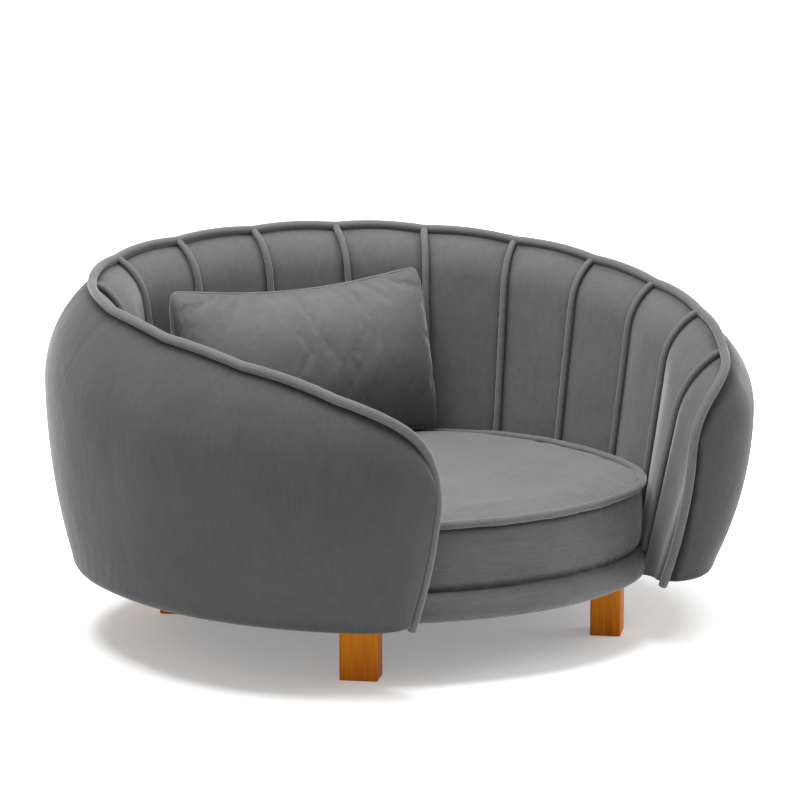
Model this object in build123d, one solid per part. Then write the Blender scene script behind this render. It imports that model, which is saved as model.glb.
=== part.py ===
from build123d import *
from math import atan, copysign, cos, pi, radians, sin, tan
import os

os.makedirs("parts", exist_ok=True)

# Dog sofa bed: a channel-tufted tub on four block legs, with a loose seat cushion and a loose
# lumbar pillow. Millimetres, +Z up, the open front faces -Y, origin on the floor under the middle.

# Fits and covers
clear = 0.3
sewn_gap = 0.75
core_gap = 0.8
wall_base = 73
board_thickness = 15
deck_padding = 9
dust_cover_thickness = 1

# Rim line in plan, as tangent arcs from the middle of the back round to the nose of an arm
rim_back = 271.3
back_radius = 612
back_degrees = 12.4
corner_radius = 246
corner_degrees = 70.3
side_radius = 481
side_degrees = 41.1
nose_radius = 91

# Stuffed channels, and how closely the wall's stations follow each other along them
channels_per_side = 8
arm_channels = 2
wall_shares = (0, 0.5, 1)
channel_shares = (0, 0.25, 0.5, 0.75, 1)
nose_shares = (0, 0.25, 0.5, 0.75, 0.875, 1)

# Height of the rim, high at the back, falling to the noses and rounded off over them
rim_height = 401.5
side_fall = 68
nose_fall = 74
nose_power = 8
corner_fall = 36
corner_power = 36
rim_wave_height = 2

# Wall section: how far each point lies outside the rim line, along the side and at the nose
arm_start_share = 0.6
rim_side = 0
knee_side = -1
core_foot_side = -4
core_foot_nose = -54
bulge_side = 52.5
outer_foot_side = 8
outer_foot_nose = -48
inner_foot_back = -68.25
inner_foot_nose = -68
back_lean_share = 0.135
nose_lean_share = 0.414
nose_padding = 12
nose_rim_step = 18
nose_bulge_step = 25
arm_puff = 6

# Wall section: depths below the rim, the core's half thickness and the bottom edge's rounding
bulge_drop_side = 95
bulge_drop_nose = 45
core_drop_side = 25
core_drop_nose = 45
shoulder_drop_side = 45
shoulder_drop_nose = 85
core_half_side = 6
core_half_nose = 1.5
heel_side = 18
heel_nose = 6
arm_swell = 24
swell_power = 2.2
channel_crown = 7

# Welts
rim_welt_radius = 5
channel_welt_radius = 4
seat_welt_radius = 4.5
welt_tail = 8
arc_share = 0.45

# Seat cushion, and the room it keeps to the inner face of the wall
seat_room = 3.25
seat_back_room = 9.25
seat_depth = 475
seat_side_degrees = 22.3
seat_front_degrees = 28
seat_thickness = 71
seat_crown = 12
seat_crown_shares = ((1, 0), (0.88, 0.45), (0.6, 0.82), (0.2, 1))
seat_edge_draw = 5
seat_foot_draw = 9.5

# Base
board_inset = 11
board_corner_radius = 19.85
board_side_degrees = 12
board_front_degrees = 20
rail_height = 32
rail_depth = 24
rail_proud = 3
rail_start_degrees = 125
dust_cover_inset = 6

# Pillow
pillow_length = 350
pillow_height = 200
pillow_thickness = 92
pillow_edge = 5
pillow_draw_share = 0.17
pillow_shares = (-1, -0.93, -0.75, -0.4, 0, 0.4, 0.75, 0.93, 1)
pillow_tilt_degrees = 12
pillow_back_room = 51.8
pillow_lift = 1.5

# Legs and their fixings
leg_x = 164
leg_front_inset = 103.2
leg_back_inset = 93.3
leg_width = 40
leg_depth = 33
leg_turn_degrees = 45
leg_edge = 1.5
bolt_radius = 4
bolt_in_leg = 36
bolt_fit = 0.1
nut_flange_radius = 10
nut_flange_thickness = 1.5
nut_barrel_radius = 5.5

board_top = wall_base + board_thickness
deck_top = board_top + deck_padding
seat_base = deck_top + clear
seat_edge = seat_base + seat_thickness
leg_top = wall_base - dust_cover_thickness
seat_inset = seat_room - inner_foot_back
seat_y = rim_back + inner_foot_back - seat_back_room
seat_front = seat_y - seat_depth
wing_y = rim_back - board_inset
leg_rows = {"front": seat_front + leg_front_inset, "back": rim_back - leg_back_inset}

# The padding leans outward from its foot, and at the nose the core and cover go with it
back_rise = rim_height - shoulder_drop_side - board_top
shoulder_side = inner_foot_back + back_lean_share * back_rise
nose_rise = rim_height - side_fall - nose_fall - shoulder_drop_nose - wall_base
shoulder_nose = inner_foot_nose + nose_lean_share * nose_rise
knee_nose = shoulder_nose + nose_padding
rim_nose = shoulder_nose + nose_rim_step
bulge_nose = shoulder_nose + nose_bulge_step


# The rim line and the wall's stations

def follow(arcs, y, distance):
    """Point and outward angle at a distance along tangent arcs that start at the back."""
    x, angle = 0, 90
    for radius, whole in arcs:
        turn = min(whole, distance / radii_to_length(radius))
        x -= radius * (cos(radians(angle)) - cos(radians(angle - turn)))
        y -= radius * (sin(radians(angle)) - sin(radians(angle - turn)))
        angle -= turn
        distance -= turn * radii_to_length(radius)
    return x, y, angle


def radii_to_length(radius):
    """Arc length of one degree at this radius."""
    return radius * pi / 180


def arcs_length(arcs):
    return sum(turn * radii_to_length(radius) for radius, turn in arcs)


def rim_arcs():
    nose_degrees = 180 - back_degrees - corner_degrees - side_degrees
    return ((back_radius, back_degrees), (corner_radius, corner_degrees),
            (side_radius, side_degrees), (nose_radius, nose_degrees))


def rim_point(u):
    """Rim line in plan: u runs from -1 at the left nose over 0 at the back to 1."""
    x, y, angle = follow(rim_arcs(), rim_back, abs(u) * arcs_length(rim_arcs()))
    return (x, y, angle) if u >= 0 else (-x, y, 180 - angle)


def station(u):
    """Upright plane across the wall: its x points outward, its y up."""
    x, y, angle = rim_point(u)
    outward = Vector(cos(radians(angle)), sin(radians(angle)), 0)
    return Plane(origin=(x, y, 0), x_dir=outward, z_dir=outward.cross(Vector(0, 0, 1)))


def arm_share(u):
    """0 along the back and sides, rising to 1 at the nose."""
    return max(0, (abs(u) - arm_start_share) / (1 - arm_start_share))


def fullness(u):
    """1 along the back and sides, falling to 0 at the nose."""
    return cos(arm_share(u) * pi / 2)


def blend(nose, side, u):
    return nose + (side - nose) * fullness(u)


def flute(u):
    """0 on a channel joint, 1 in the middle of a channel."""
    return abs(sin(pi * u * channels_per_side))


def crest_z(u):
    """Height from which the padding hangs: the rim's own, but for its rounding over the nose."""
    side = side_fall * (1 - cos(pi * abs(u))) / 2
    return rim_height - side - nose_fall * abs(u) ** nose_power + rim_wave_height * flute(u)


def rim_z(u):
    return crest_z(u) - corner_fall * abs(u) ** corner_power


def rim_slope(u):
    """Steepness of the rim's fall towards the nose, in radians."""
    fall = (side_fall * sin(pi * abs(u)) * pi / 2 + nose_fall * nose_power * abs(u) ** (nose_power - 1)
            + corner_fall * corner_power * abs(u) ** (corner_power - 1))
    return atan(fall / arcs_length(rim_arcs()))


def swell(u):
    """Extra padding inside the arm, between the side and the nose."""
    return arm_swell * sin(pi * arm_share(u) ** swell_power)


def sole_z(u):
    """Underside of the inner padding: on the board, dropping to the wall base at the nose."""
    last = 1 - 1 / channels_per_side
    share = max(0, (abs(u) - last) / (1 - last))
    return wall_base + board_thickness * cos(share * pi / 2)


# Points of the wall section, as (outward, up) in a station plane

def core_points(u, side):
    """Top, knee and foot of the core's face; side is 1 outside and -1 inside."""
    half = blend(core_half_nose, core_half_side, u)
    drop = blend(shoulder_drop_nose, shoulder_drop_side, u)
    top = (blend(rim_nose, rim_side, u) + side * half,
           crest_z(u) - blend(core_drop_nose, core_drop_side, u))
    knee = (blend(knee_nose, knee_side, u) + side * half, crest_z(u) - drop)
    foot = (blend(core_foot_nose, core_foot_side, u) + side * half, wall_base)
    return top, knee, foot


def inner_points(u):
    """Shoulder and foot of the inner face."""
    puff = channel_crown * flute(u)
    drop = blend(shoulder_drop_nose, shoulder_drop_side, u)
    shoulder = (blend(shoulder_nose, shoulder_side, u) - swell(u) - puff, crest_z(u) - drop)
    side_foot = shoulder_side - back_lean_share * (crest_z(u) - drop - sole_z(u))
    foot = (blend(inner_foot_nose, side_foot, u) - swell(u) - puff, sole_z(u))
    return shoulder, foot


def step(point, side):
    """Move a point of the core's face off the core."""
    return point[0] + side * core_gap, point[1]


def along(start, end, z):
    """Point on a straight line at height z."""
    share = (z - start[1]) / (end[1] - start[1])
    return start[0] + share * (end[0] - start[0]), z


def outer_points(u):
    """Rim, widest point, ankle, middle of the bottom edge's rounding, and toe of the outer face."""
    rim = (blend(rim_nose, rim_side, u), rim_z(u))
    bulge = (blend(bulge_nose, bulge_side, u) + arm_puff * sin(pi * arm_share(u)),
             crest_z(u) - blend(bulge_drop_nose, bulge_drop_side, u))
    heel = blend(heel_nose, heel_side, u)
    toe = (blend(outer_foot_nose, outer_foot_side, u), wall_base)
    ankle = (toe[0] + heel, wall_base + heel)
    turn = (toe[0] + heel * sin(pi / 4), wall_base + heel * (1 - cos(pi / 4)))
    return rim, bulge, ankle, turn, toe


def outer_section(u):
    rim, bulge, ankle, turn, toe = outer_points(u)
    rim = (rim[0] + sewn_gap / 2, rim[1])
    top, knee, foot = (step(point, 1) for point in core_points(u, 1))
    edges = [
        TangentArc(bulge, rim, tangent=(0, 1)),
        TangentArc(bulge, ankle, tangent=(0, -1)),
        ThreePointArc(ankle, turn, toe),
        Line(toe, foot),
        Line(foot, knee),
        Line(knee, top),
        Line(top, (rim[0], top[1])),
        Line((rim[0], top[1]), rim),
    ]
    return station(u) * make_face(edges)


def channel_section(u):
    rim = (blend(rim_nose, rim_side, u) - sewn_gap / 2, rim_z(u))
    top, knee, foot = (step(point, -1) for point in core_points(u, -1))
    heel = along(foot, knee, sole_z(u)) if sole_z(u) > wall_base else foot
    shoulder, inner_foot = inner_points(u)
    lean = Vector(shoulder[0] - inner_foot[0], shoulder[1] - inner_foot[1])
    edges = [
        TangentArc(shoulder, rim, tangent=lean),
        Line(rim, (rim[0], top[1])),
        Line((rim[0], top[1]), top),
        Line(top, knee),
        Line(knee, heel),
        Line(heel, inner_foot),
        Line(inner_foot, shoulder),
    ]
    return station(u) * make_face(edges)


def core_section(u):
    outside, inside = ([(top[0], top[1] - core_gap), knee, foot]
                       for top, knee, foot in (core_points(u, 1), core_points(u, -1)))
    return station(u) * make_face(Polyline(*outside, *reversed(inside), close=True))


def section_shares(number):
    """Where the sections of a channel lie between its two joints."""
    return nose_shares if number == channels_per_side else channel_shares


def wall_stations():
    """From nose to nose: at the joints and middles of the channels, and closer along the arms."""
    places = []
    for number in range(1, channels_per_side + 1):
        in_arm = number > channels_per_side - arm_channels
        places += [number - 1 + share for share in (section_shares(number) if in_arm else wall_shares)[:-1]]
    right = [place / channels_per_side for place in places + [channels_per_side]]
    return [-u for u in reversed(right[1:])] + right


# Closed outlines that follow the rim line at the back and close with a rounder front

def closed_arcs(inset, side_turn, corner, front_turn):
    """Half outline: the rim's arcs moved inward, a corner, and a front that ends on the middle line."""
    arcs = [(back_radius - inset, back_degrees), (corner_radius - inset, corner_degrees),
            (side_radius - inset, side_turn)]
    arcs.append((corner, 180 - front_turn - sum(turn for _, turn in arcs)))
    reach, _, _ = follow(arcs, 0, arcs_length(arcs))
    return arcs + [(reach / sin(radians(front_turn)), front_turn)]


def seat_arcs_for(corner):
    return closed_arcs(seat_inset, seat_side_degrees, corner, seat_front_degrees)


def seat_corner():
    """Corner radius that gives the seat its depth; the depth grows evenly with that radius."""
    trials = corner_radius / 2, corner_radius
    near, far = (-follow(arcs, 0, arcs_length(arcs))[1] for arcs in map(seat_arcs_for, trials))
    return trials[0] + (trials[1] - trials[0]) * (seat_depth - near) / (far - near)


def outline(arcs, y, inset=0, turned=0):
    """Arc edges of an outline, moved inward by an inset.

    The first so many degrees from the back are left out on both sides.
    """
    edges, done, angle = [], 0, 0
    for radius, turn in arcs:
        length = radii_to_length(radius) * turn
        skipped = min(1, max(0, (turned - angle) / turn))
        ends = [follow(arcs, y, done + length * share) for share in (skipped, (skipped + 1) / 2, 1)]
        spots = [(px - inset * cos(radians(pa)), py - inset * sin(radians(pa))) for px, py, pa in ends]
        if skipped < 1:
            edges.append(ThreePointArc(*spots))
            edges.append(ThreePointArc(*[(-x, y) for x, y in spots]))
        done += length
        angle += turn
    return edges


seat_arcs = seat_arcs_for(seat_corner())
wing_arcs = closed_arcs(board_inset, board_side_degrees, board_corner_radius, board_front_degrees)


def seat_face(z, inset, shrink=1):
    face = make_face(outline(seat_arcs, seat_y, inset))
    return Pos(0, 0, z) * (face if shrink == 1 else scale(face, by=(shrink, shrink, 1)))


# Wall

def channel(side, number):
    """One stuffed channel between two joints, fullest in its middle."""
    first = (number - 1) / channels_per_side
    width = 1 / channels_per_side
    return loft([channel_section(side * (first + width * share)) for share in section_shares(number)])


def both_sides(section):
    """One half of a wall that runs from nose to nose, and its mirror image."""
    half = split(loft([section(u) for u in wall_stations()]), bisect_by=Plane.YZ)
    return half + mirror(half, about=Plane.YZ)


def outer_cover():
    return both_sides(outer_section)


def shell_wall():
    return both_sides(core_section)


def tube(path, radius):
    return sweep(Plane(origin=path @ 0, z_dir=path % 0) * Circle(radius), path=path)


def rounded(points):
    """Straight runs joined by arcs that take up nearly half of the shorter run on each side."""
    runs = [end - start for start, end in zip(points, points[1:])]
    radii = [arc_share * min(before.length, after.length) / tan(radians(before.get_angle(after) / 2))
             for before, after in zip(runs, runs[1:])]
    return FilletPolyline(*points, radius=radii)


def channel_welt(u):
    """Piping down one joint, lying on the crease between two channels."""
    off = channel_welt_radius + sewn_gap
    shoulder, foot = inner_points(u)
    foot = along(foot, shoulder, deck_top)
    rim = (blend(rim_nose, rim_side, u), rim_z(u))
    lean = Vector(shoulder[0] - foot[0], shoulder[1] - foot[1]).normalized()
    chord = Vector(rim[0] - shoulder[0], rim[1] - shoulder[1]).normalized()
    end = chord * (2 * chord.dot(lean)) - lean
    points = [(point[0] - off * way.Y, point[1] + off * way.X)
              for point, way in ((foot, lean), (shoulder, lean), (rim, end))]
    arc = TangentArc(points[1], points[2], tangent=lean)
    room = 1 - 2 * (rim_welt_radius + sewn_gap) / arc.length
    line = Line(points[0], points[1])
    path = station(u) * Wire([line, Edge(arc.wrapped).trim(0, room)])
    return tube(path, channel_welt_radius)


def over_rim(u):
    """Centre of the welt on the rim, off it square to its slope."""
    off = rim_welt_radius + sewn_gap
    ahead = copysign(off * sin(rim_slope(u)), u)
    rise = off * cos(rim_slope(u))
    return station(u).from_local_coords((blend(rim_nose, rim_side, u), rim_z(u) + rise, ahead))


def down_nose(side):
    """Centre line of the welt down the front edge of an arm, ending in its tail."""
    _, bulge, ankle, _, toe = outer_points(1)
    face = TangentArc(bulge, ankle, tangent=(0, -1))
    line = [face @ share for share in (0.25, 0.5, 1)]
    line.append(line[-1] + (face % 1) * (welt_tail + ankle[1] - toe[1]))
    ahead = side * (rim_welt_radius + sewn_gap)
    return [station(side).from_local_coords((point.X - rim_welt_radius, point.Y, ahead)) for point in line]


def rim_welt():
    """One unbroken piping from the foot of one arm, over the rim, to the foot of the other."""
    over = [over_rim(u) for u in wall_stations()]
    return tube(rounded(down_nose(-1)[::-1] + over + down_nose(1)), rim_welt_radius)


# Base

def board_face(inset=0):
    """A wide wing under the tub and a tongue under the front of the seat."""
    tongue = make_face(outline(seat_arcs, seat_y, rail_depth - rail_proud + inset))
    wing = make_face(outline(wing_arcs, wing_y, inset))
    return tongue + wing


def base_board():
    """Plywood base, bored and counterbored for the leg nuts."""
    board = Pos(0, 0, wall_base) * extrude(board_face(), board_thickness)
    for spot in leg_spots():
        board -= Pos(spot.X, spot.Y, wall_base) * extrude(Circle(nut_barrel_radius), board_thickness)
        sunk = Pos(spot.X, spot.Y, board_top - nut_flange_thickness)
        board -= sunk * extrude(Circle(nut_flange_radius), nut_flange_thickness)
    return board


def deck_pad():
    return extrude(seat_face(board_top, rail_depth - rail_proud), deck_padding)


def front_rail(arms):
    """Padded bull-nose between the arms, trimmed where it meets them."""
    nose = rail_height / 2
    path = Wire(outline(seat_arcs, seat_y, rail_depth - rail_proud, rail_start_degrees))
    path = Pos(0, 0, deck_top - nose) * path
    outward = (path % 0).cross(Vector(0, 0, 1))
    if outward.dot(path @ 0) < 0:
        outward = -outward
    start = Plane(origin=path @ 0, z_dir=path % 0, x_dir=outward)
    flat = rail_depth - nose
    section = start * make_face([
        Line((0, nose), (flat, nose)),
        ThreePointArc((flat, nose), (rail_depth, 0), (flat, -nose)),
        Line((flat, -nose), (0, -nose)),
        Line((0, -nose), (0, nose)),
    ])
    rail = sweep(section, path=path)
    for arm in arms:
        rail -= arm
    return rail


def dust_cover():
    sheet = Pos(0, 0, leg_top) * extrude(board_face(dust_cover_inset), dust_cover_thickness)
    for spot in leg_spots():
        sheet -= Pos(spot.X, spot.Y, leg_top) * extrude(Circle(bolt_radius), dust_cover_thickness)
    return sheet


# Seat cushion and pillow

def seat_cushion():
    """Boxed cushion with drawn-in sides under a crowned top."""
    welt = 2 * seat_welt_radius + clear
    boxing = loft([
        seat_face(seat_base, seat_foot_draw),
        seat_face((seat_base + seat_edge) / 2, seat_edge_draw),
        seat_face(seat_edge, welt),
    ])
    crown = loft([seat_face(seat_edge + seat_crown * rise, welt, shrink)
                  for shrink, rise in seat_crown_shares])
    return boxing + crown


def seat_welt():
    path = Pos(0, 0, seat_edge) * Wire(outline(seat_arcs, seat_y, seat_welt_radius))
    return tube(path, seat_welt_radius)


def pillow_half_height(share):
    """Half height along the pillow: tall at the corners and drawn in between them."""
    return pillow_height / 2 * (1 - pillow_draw_share * (1 - share ** 2))


def pillow_half_thickness(share):
    return pillow_edge / 2 + (pillow_thickness - pillow_edge) / 2 * (1 - share ** 4) ** 0.5


def pillow_place():
    tall = pillow_height / 2
    foot = Pos(0, seat_y - pillow_back_room, seat_edge + pillow_lift)
    return foot * Rot(-pillow_tilt_degrees, 0, 0) * Pos(0, 0, tall)


def pillow():
    sections = []
    for share in pillow_shares:
        high, thick = pillow_half_height(share), pillow_half_thickness(share)
        lens = make_face([ThreePointArc((0, high), (-thick, 0), (0, -high)),
                          ThreePointArc((0, -high), (thick, 0), (0, high))])
        plane = Plane(origin=(share * pillow_length / 2, 0, 0), x_dir=(0, 1, 0), z_dir=(1, 0, 0))
        sections.append(plane * lens)
    return pillow_place() * loft(sections)


# Legs and fixings

def leg_spots():
    return [Vector(x * leg_x, y) for x in (-1, 1) for y in leg_rows.values()]


def leg(side, y, end):
    """Block leg turned so that its broad face looks out of the corner."""
    block = Box(leg_width, leg_depth, leg_top, align=(Align.CENTER, Align.CENTER, Align.MIN))
    block = chamfer(block.edges().filter_by(Axis.Z), leg_edge)
    bore = Cylinder(bolt_radius + bolt_fit, bolt_in_leg,
                    align=(Align.CENTER, Align.CENTER, Align.MAX))
    block -= Pos(0, 0, leg_top) * bore
    return Pos(side * leg_x, y, 0) * Rot(0, 0, -side * end * leg_turn_degrees) * block


def leg_bolts():
    length = bolt_in_leg + board_top - leg_top
    bolt = Cylinder(bolt_radius, length, align=(Align.CENTER, Align.CENTER, Align.MAX))
    return Compound([Pos(spot.X, spot.Y, board_top) * bolt for spot in leg_spots()])


def leg_nuts():
    barrel = extrude(Circle(nut_barrel_radius) - Circle(bolt_radius + bolt_fit),
                     board_thickness - nut_flange_thickness)
    flange = extrude(Circle(nut_flange_radius) - Circle(bolt_radius + bolt_fit), nut_flange_thickness)
    nut = barrel + Pos(0, 0, board_thickness - nut_flange_thickness) * flange
    return Compound([Pos(spot.X, spot.Y, wall_base) * nut for spot in leg_spots()])


def save(part, name):
    export_step(part, f"parts/{name}.step")
    print(name, round(part.volume))


sides = {"right": 1, "left": -1}
arms = [channel(side, channels_per_side - back) for side in sides.values() for back in range(arm_channels)]
save(base_board(), "base_board")
save(deck_pad(), "deck_pad")
save(front_rail(arms), "front_rail")
save(dust_cover(), "dust_cover")
save(shell_wall(), "shell_wall")
save(outer_cover(), "outer_cover")
save(rim_welt(), "rim_welt")
for side_name, side in sides.items():
    for number in range(1, channels_per_side + 1):
        save(channel(side, number), f"channel_{side_name}_{number}")
    for number in range(1, channels_per_side):
        save(channel_welt(side * number / channels_per_side), f"channel_welt_{side_name}_{number}")
    for (row, y), end in zip(leg_rows.items(), (-1, 1)):
        save(leg(side, y, end), f"leg_{row}_{side_name}")
save(channel_welt(0), "channel_welt_back")
save(leg_bolts(), "leg_bolts")
save(leg_nuts(), "leg_nuts")
save(seat_cushion(), "seat_cushion")
save(seat_welt(), "seat_welt")
save(pillow(), "pillow")
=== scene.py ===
"""Dressed model of a channel-tufted tub sofa for a pet: piped shell, channels, loose seat and pillow."""
import logging
import math
from collections.abc import Callable
from dataclasses import dataclass
from enum import Enum

import bpy
import numpy as np
from mathutils import Matrix, Vector


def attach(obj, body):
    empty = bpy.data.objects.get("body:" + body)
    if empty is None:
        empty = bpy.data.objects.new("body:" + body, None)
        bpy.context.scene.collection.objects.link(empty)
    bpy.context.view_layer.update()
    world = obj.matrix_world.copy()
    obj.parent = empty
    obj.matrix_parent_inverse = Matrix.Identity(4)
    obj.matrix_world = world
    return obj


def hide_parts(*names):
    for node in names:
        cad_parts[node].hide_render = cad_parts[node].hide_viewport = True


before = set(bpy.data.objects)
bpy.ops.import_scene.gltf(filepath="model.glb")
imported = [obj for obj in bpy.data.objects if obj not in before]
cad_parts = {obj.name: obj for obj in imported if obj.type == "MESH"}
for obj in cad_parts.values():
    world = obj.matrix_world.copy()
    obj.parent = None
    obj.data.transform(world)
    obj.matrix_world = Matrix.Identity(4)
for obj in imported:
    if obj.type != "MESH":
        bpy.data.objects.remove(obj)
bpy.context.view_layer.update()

LOG = logging.getLogger("pet_sofa")
MM = 0.001


class Side(Enum):
    """The two halves of the tub, by the sign of X."""

    RIGHT = 1
    LEFT = -1


# Shader expressions


class Term:
    """A value socket in a finish; arithmetic on it adds Math nodes."""

    def __init__(self, kit: "NodeKit", socket: bpy.types.NodeSocket) -> None:
        """Wrap one output socket.

        Args:
            kit: The node tree that the expression joins.
            socket: The socket that holds the value.
        """
        self.kit = kit
        self.socket = socket

    def _join(self, operation: str, *operands: object) -> "Term":
        """Add one Math node.

        Args:
            operation: The node's operation.
            *operands: Terms or numbers.

        Returns:
            The node's result.
        """
        values = {i: o.socket if isinstance(o, Term) else float(o) for i, o in enumerate(operands)}
        node = self.kit.node("ShaderNodeMath", {"operation": operation}, values)
        return Term(self.kit, node.outputs[0])

    def __add__(self, other: object) -> "Term":
        """Sum."""
        return self._join("ADD", self, other)

    def __sub__(self, other: object) -> "Term":
        """Difference."""
        return self._join("SUBTRACT", self, other)

    def __mul__(self, other: object) -> "Term":
        """Product."""
        return self._join("MULTIPLY", self, other)

    def __pow__(self, other: object) -> "Term":
        """Power."""
        return self._join("POWER", self, other)

    def clamped(self) -> "Term":
        """The value held between 0 and 1."""
        return self._join("MINIMUM", self._join("MAXIMUM", self, 0.0), 1.0)


class NodeKit:
    """One node tree, emptied, and the call that fills it."""

    def __init__(self, tree: bpy.types.NodeTree) -> None:
        """Take over a tree.

        Args:
            tree: The tree, which is emptied.
        """
        self.tree = tree
        tree.nodes.clear()

    def node(self, kind: str, settings: dict, inputs: dict) -> bpy.types.Node:
        """Add a node.

        Args:
            kind: The node's type name.
            settings: Properties that are set first.
            inputs: Socket name or number to a value, a socket or a Term.

        Returns:
            The new node.
        """
        made = self.tree.nodes.new(kind)
        for key, value in settings.items():
            setattr(made, key, value)
        for key, value in inputs.items():
            self.feed(made.inputs[key], value)
        return made

    def feed(self, socket: bpy.types.NodeSocket, value: object) -> None:
        """Fill one input.

        Args:
            socket: The input.
            value: A socket or Term that is linked to it, or a plain value.
        """
        value = value.socket if isinstance(value, Term) else value
        if isinstance(value, bpy.types.NodeSocket):
            self.tree.links.new(value, socket)
        else:
            socket.default_value = value

    def seen(self) -> Term:
        """Tell the rays that show a thing from those that are only its light.

        Returns:
            1 on rays from the camera and on mirrored and refracted ones, 0 on the others.
        """
        rays = self.node("ShaderNodeLightPath", {}, {}).outputs
        camera, glossy, through = (Term(self, rays[f"Is {kind} Ray"])
                                   for kind in ("Camera", "Glossy", "Transmission"))
        return (camera + glossy + through).clamped()


class FinishKit(NodeKit):
    """One material with a Principled shader, and the calls that its finishes share."""

    def __init__(self, name: str) -> None:
        """Start the material.

        Args:
            name: The material's name.
        """
        self.material = bpy.data.materials.new(name)
        self.material.use_nodes = True
        super().__init__(self.material.node_tree)
        self.shader = self.node("ShaderNodeBsdfPrincipled", {}, {})
        self.output = self.node("ShaderNodeOutputMaterial", {}, {"Surface": self.shader.outputs["BSDF"]})

    def set(self, **values: object) -> None:
        """Set the shader's own sockets; underscores in a name stand for spaces."""
        for key, value in values.items():
            self.feed(self.shader.inputs[key.replace("_", " ")], value)

    def coordinates(self, stretch: tuple[float, float, float] = (1, 1, 1)) -> bpy.types.NodeSocket:
        """Object coordinates in metres.

        Args:
            stretch: Factor along each axis.

        Returns:
            The vector socket.
        """
        source = self.node("ShaderNodeTexCoord", {}, {}).outputs["Object"]
        return self.node("ShaderNodeMapping", {}, {"Vector": source, "Scale": stretch}).outputs[0]

    def noise(self, vector: bpy.types.NodeSocket, scale: float, detail: float, roughness: float) -> Term:
        """Fractal noise.

        Args:
            vector: Where it is read.
            scale: Cells to the metre.
            detail: Octaves.
            roughness: Weight of each octave against the one before.

        Returns:
            A value from 0 to 1.
        """
        made = self.node("ShaderNodeTexNoise", {}, {"Vector": vector, "Scale": scale, "Detail": detail,
                                                     "Roughness": roughness})
        return Term(self, made.outputs[0])

    def axis(self, vector: bpy.types.NodeSocket, name: str) -> Term:
        """One component of a vector."""
        return Term(self, self.node("ShaderNodeSeparateXYZ", {}, {0: vector}).outputs[name])

    def attribute(self, name: str) -> Term:
        """A value that the mesh carries at its vertices, 0 where it has none."""
        return Term(self, self.node("ShaderNodeAttribute", {"attribute_name": name}, {}).outputs["Fac"])

    def blend_colours(self, factor: Term, low: tuple[float, ...],
                      high: tuple[float, ...]) -> bpy.types.NodeSocket:
        """Colour between two colours.

        The Mix node has sockets for every kind of data, so its colour sockets are found by their type.

        Args:
            factor: 0 for the low colour to 1 for the high one.
            low: Red, green and blue.
            high: Red, green and blue.

        Returns:
            The colour socket.
        """
        made = self.node("ShaderNodeMix", {"data_type": "RGBA"}, {0: factor})
        for socket, colour in zip([s for s in made.inputs if s.type == "RGBA"], (low, high)):
            socket.default_value = (*colour, 1.0)
        return next(socket for socket in made.outputs if socket.type == "RGBA")

    def bump(self, height: Term, depth: float,
             below: bpy.types.NodeSocket | None = None) -> bpy.types.NodeSocket:
        """Relief along the normal.

        Args:
            height: Height as a share.
            depth: Metres where the height goes from 0 to 1.
            below: Another relief that it lies on, if any.

        Returns:
            The normal socket.
        """
        inputs = {"Strength": 1.0, "Distance": depth, "Height": height}
        if below is not None:
            inputs["Normal"] = below
        return self.node("ShaderNodeBump", {}, inputs).outputs[0]


@dataclass(frozen=True)
class Velvet:
    """Short-pile upholstery velvet: a soft sheen at grazing angles, brushed streaks and painted shade in seams.
    """

    name: str
    colour: tuple[float, float, float]
    streaks: tuple[float, float, float] = (90.0, 90.0, 90.0)
    streak_depth: float = 0.0003
    sheen: float = 0.45
    contrast: float = 0.30

    def build(self) -> bpy.types.Material:
        """Make the material.

        Returns:
            The material. Its streaks are noise stretched along the brushed direction; the tone falls with the
            vertex attribute of painted shade, which is 1 in seams, in grooves and under welts.
        """
        kit = FinishKit(self.name)
        space = kit.coordinates()
        streaks = kit.noise(kit.coordinates(self.streaks), 1.0, 4.0, 0.62)
        drift = kit.noise(space, 11.0, 3.0, 0.55)
        pile = kit.noise(space, 1300.0, 2.0, 0.6)
        ground = kit.noise(space, 420.0, 3.0, 0.6)
        # Painted shade: the tone falls by up to 0.75 where the mesh's shade attribute is high, in seams, grooves
        # and under welts.
        painted_shade = kit.attribute("painted_shade")
        tone = (drift * 0.42 + streaks * 0.38 + ground * 0.22 + pile * 0.12 - painted_shade * 0.75 - 0.02).clamped()
        low = tuple(c * (1 - 1.8 * self.contrast) for c in self.colour)
        high = tuple(min(1.0, c * (1 + self.contrast)) for c in self.colour)
        kit.set(Base_Color=kit.blend_colours(tone, low, high), Roughness=0.9, Specular_IOR_Level=0.13,
                Sheen_Weight=self.sheen, Sheen_Roughness=0.35, Sheen_Tint=(1.0, 1.0, 1.0, 1.0))
        brushed = kit.bump(streaks * 0.8 + ground * 0.35 + pile * 0.15, self.streak_depth)
        kit.set(Normal=kit.bump(drift * 0.8 + kit.noise(space, 42.0, 2.0, 0.5) * 0.25, 0.0024, brushed))
        return kit.material


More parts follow.
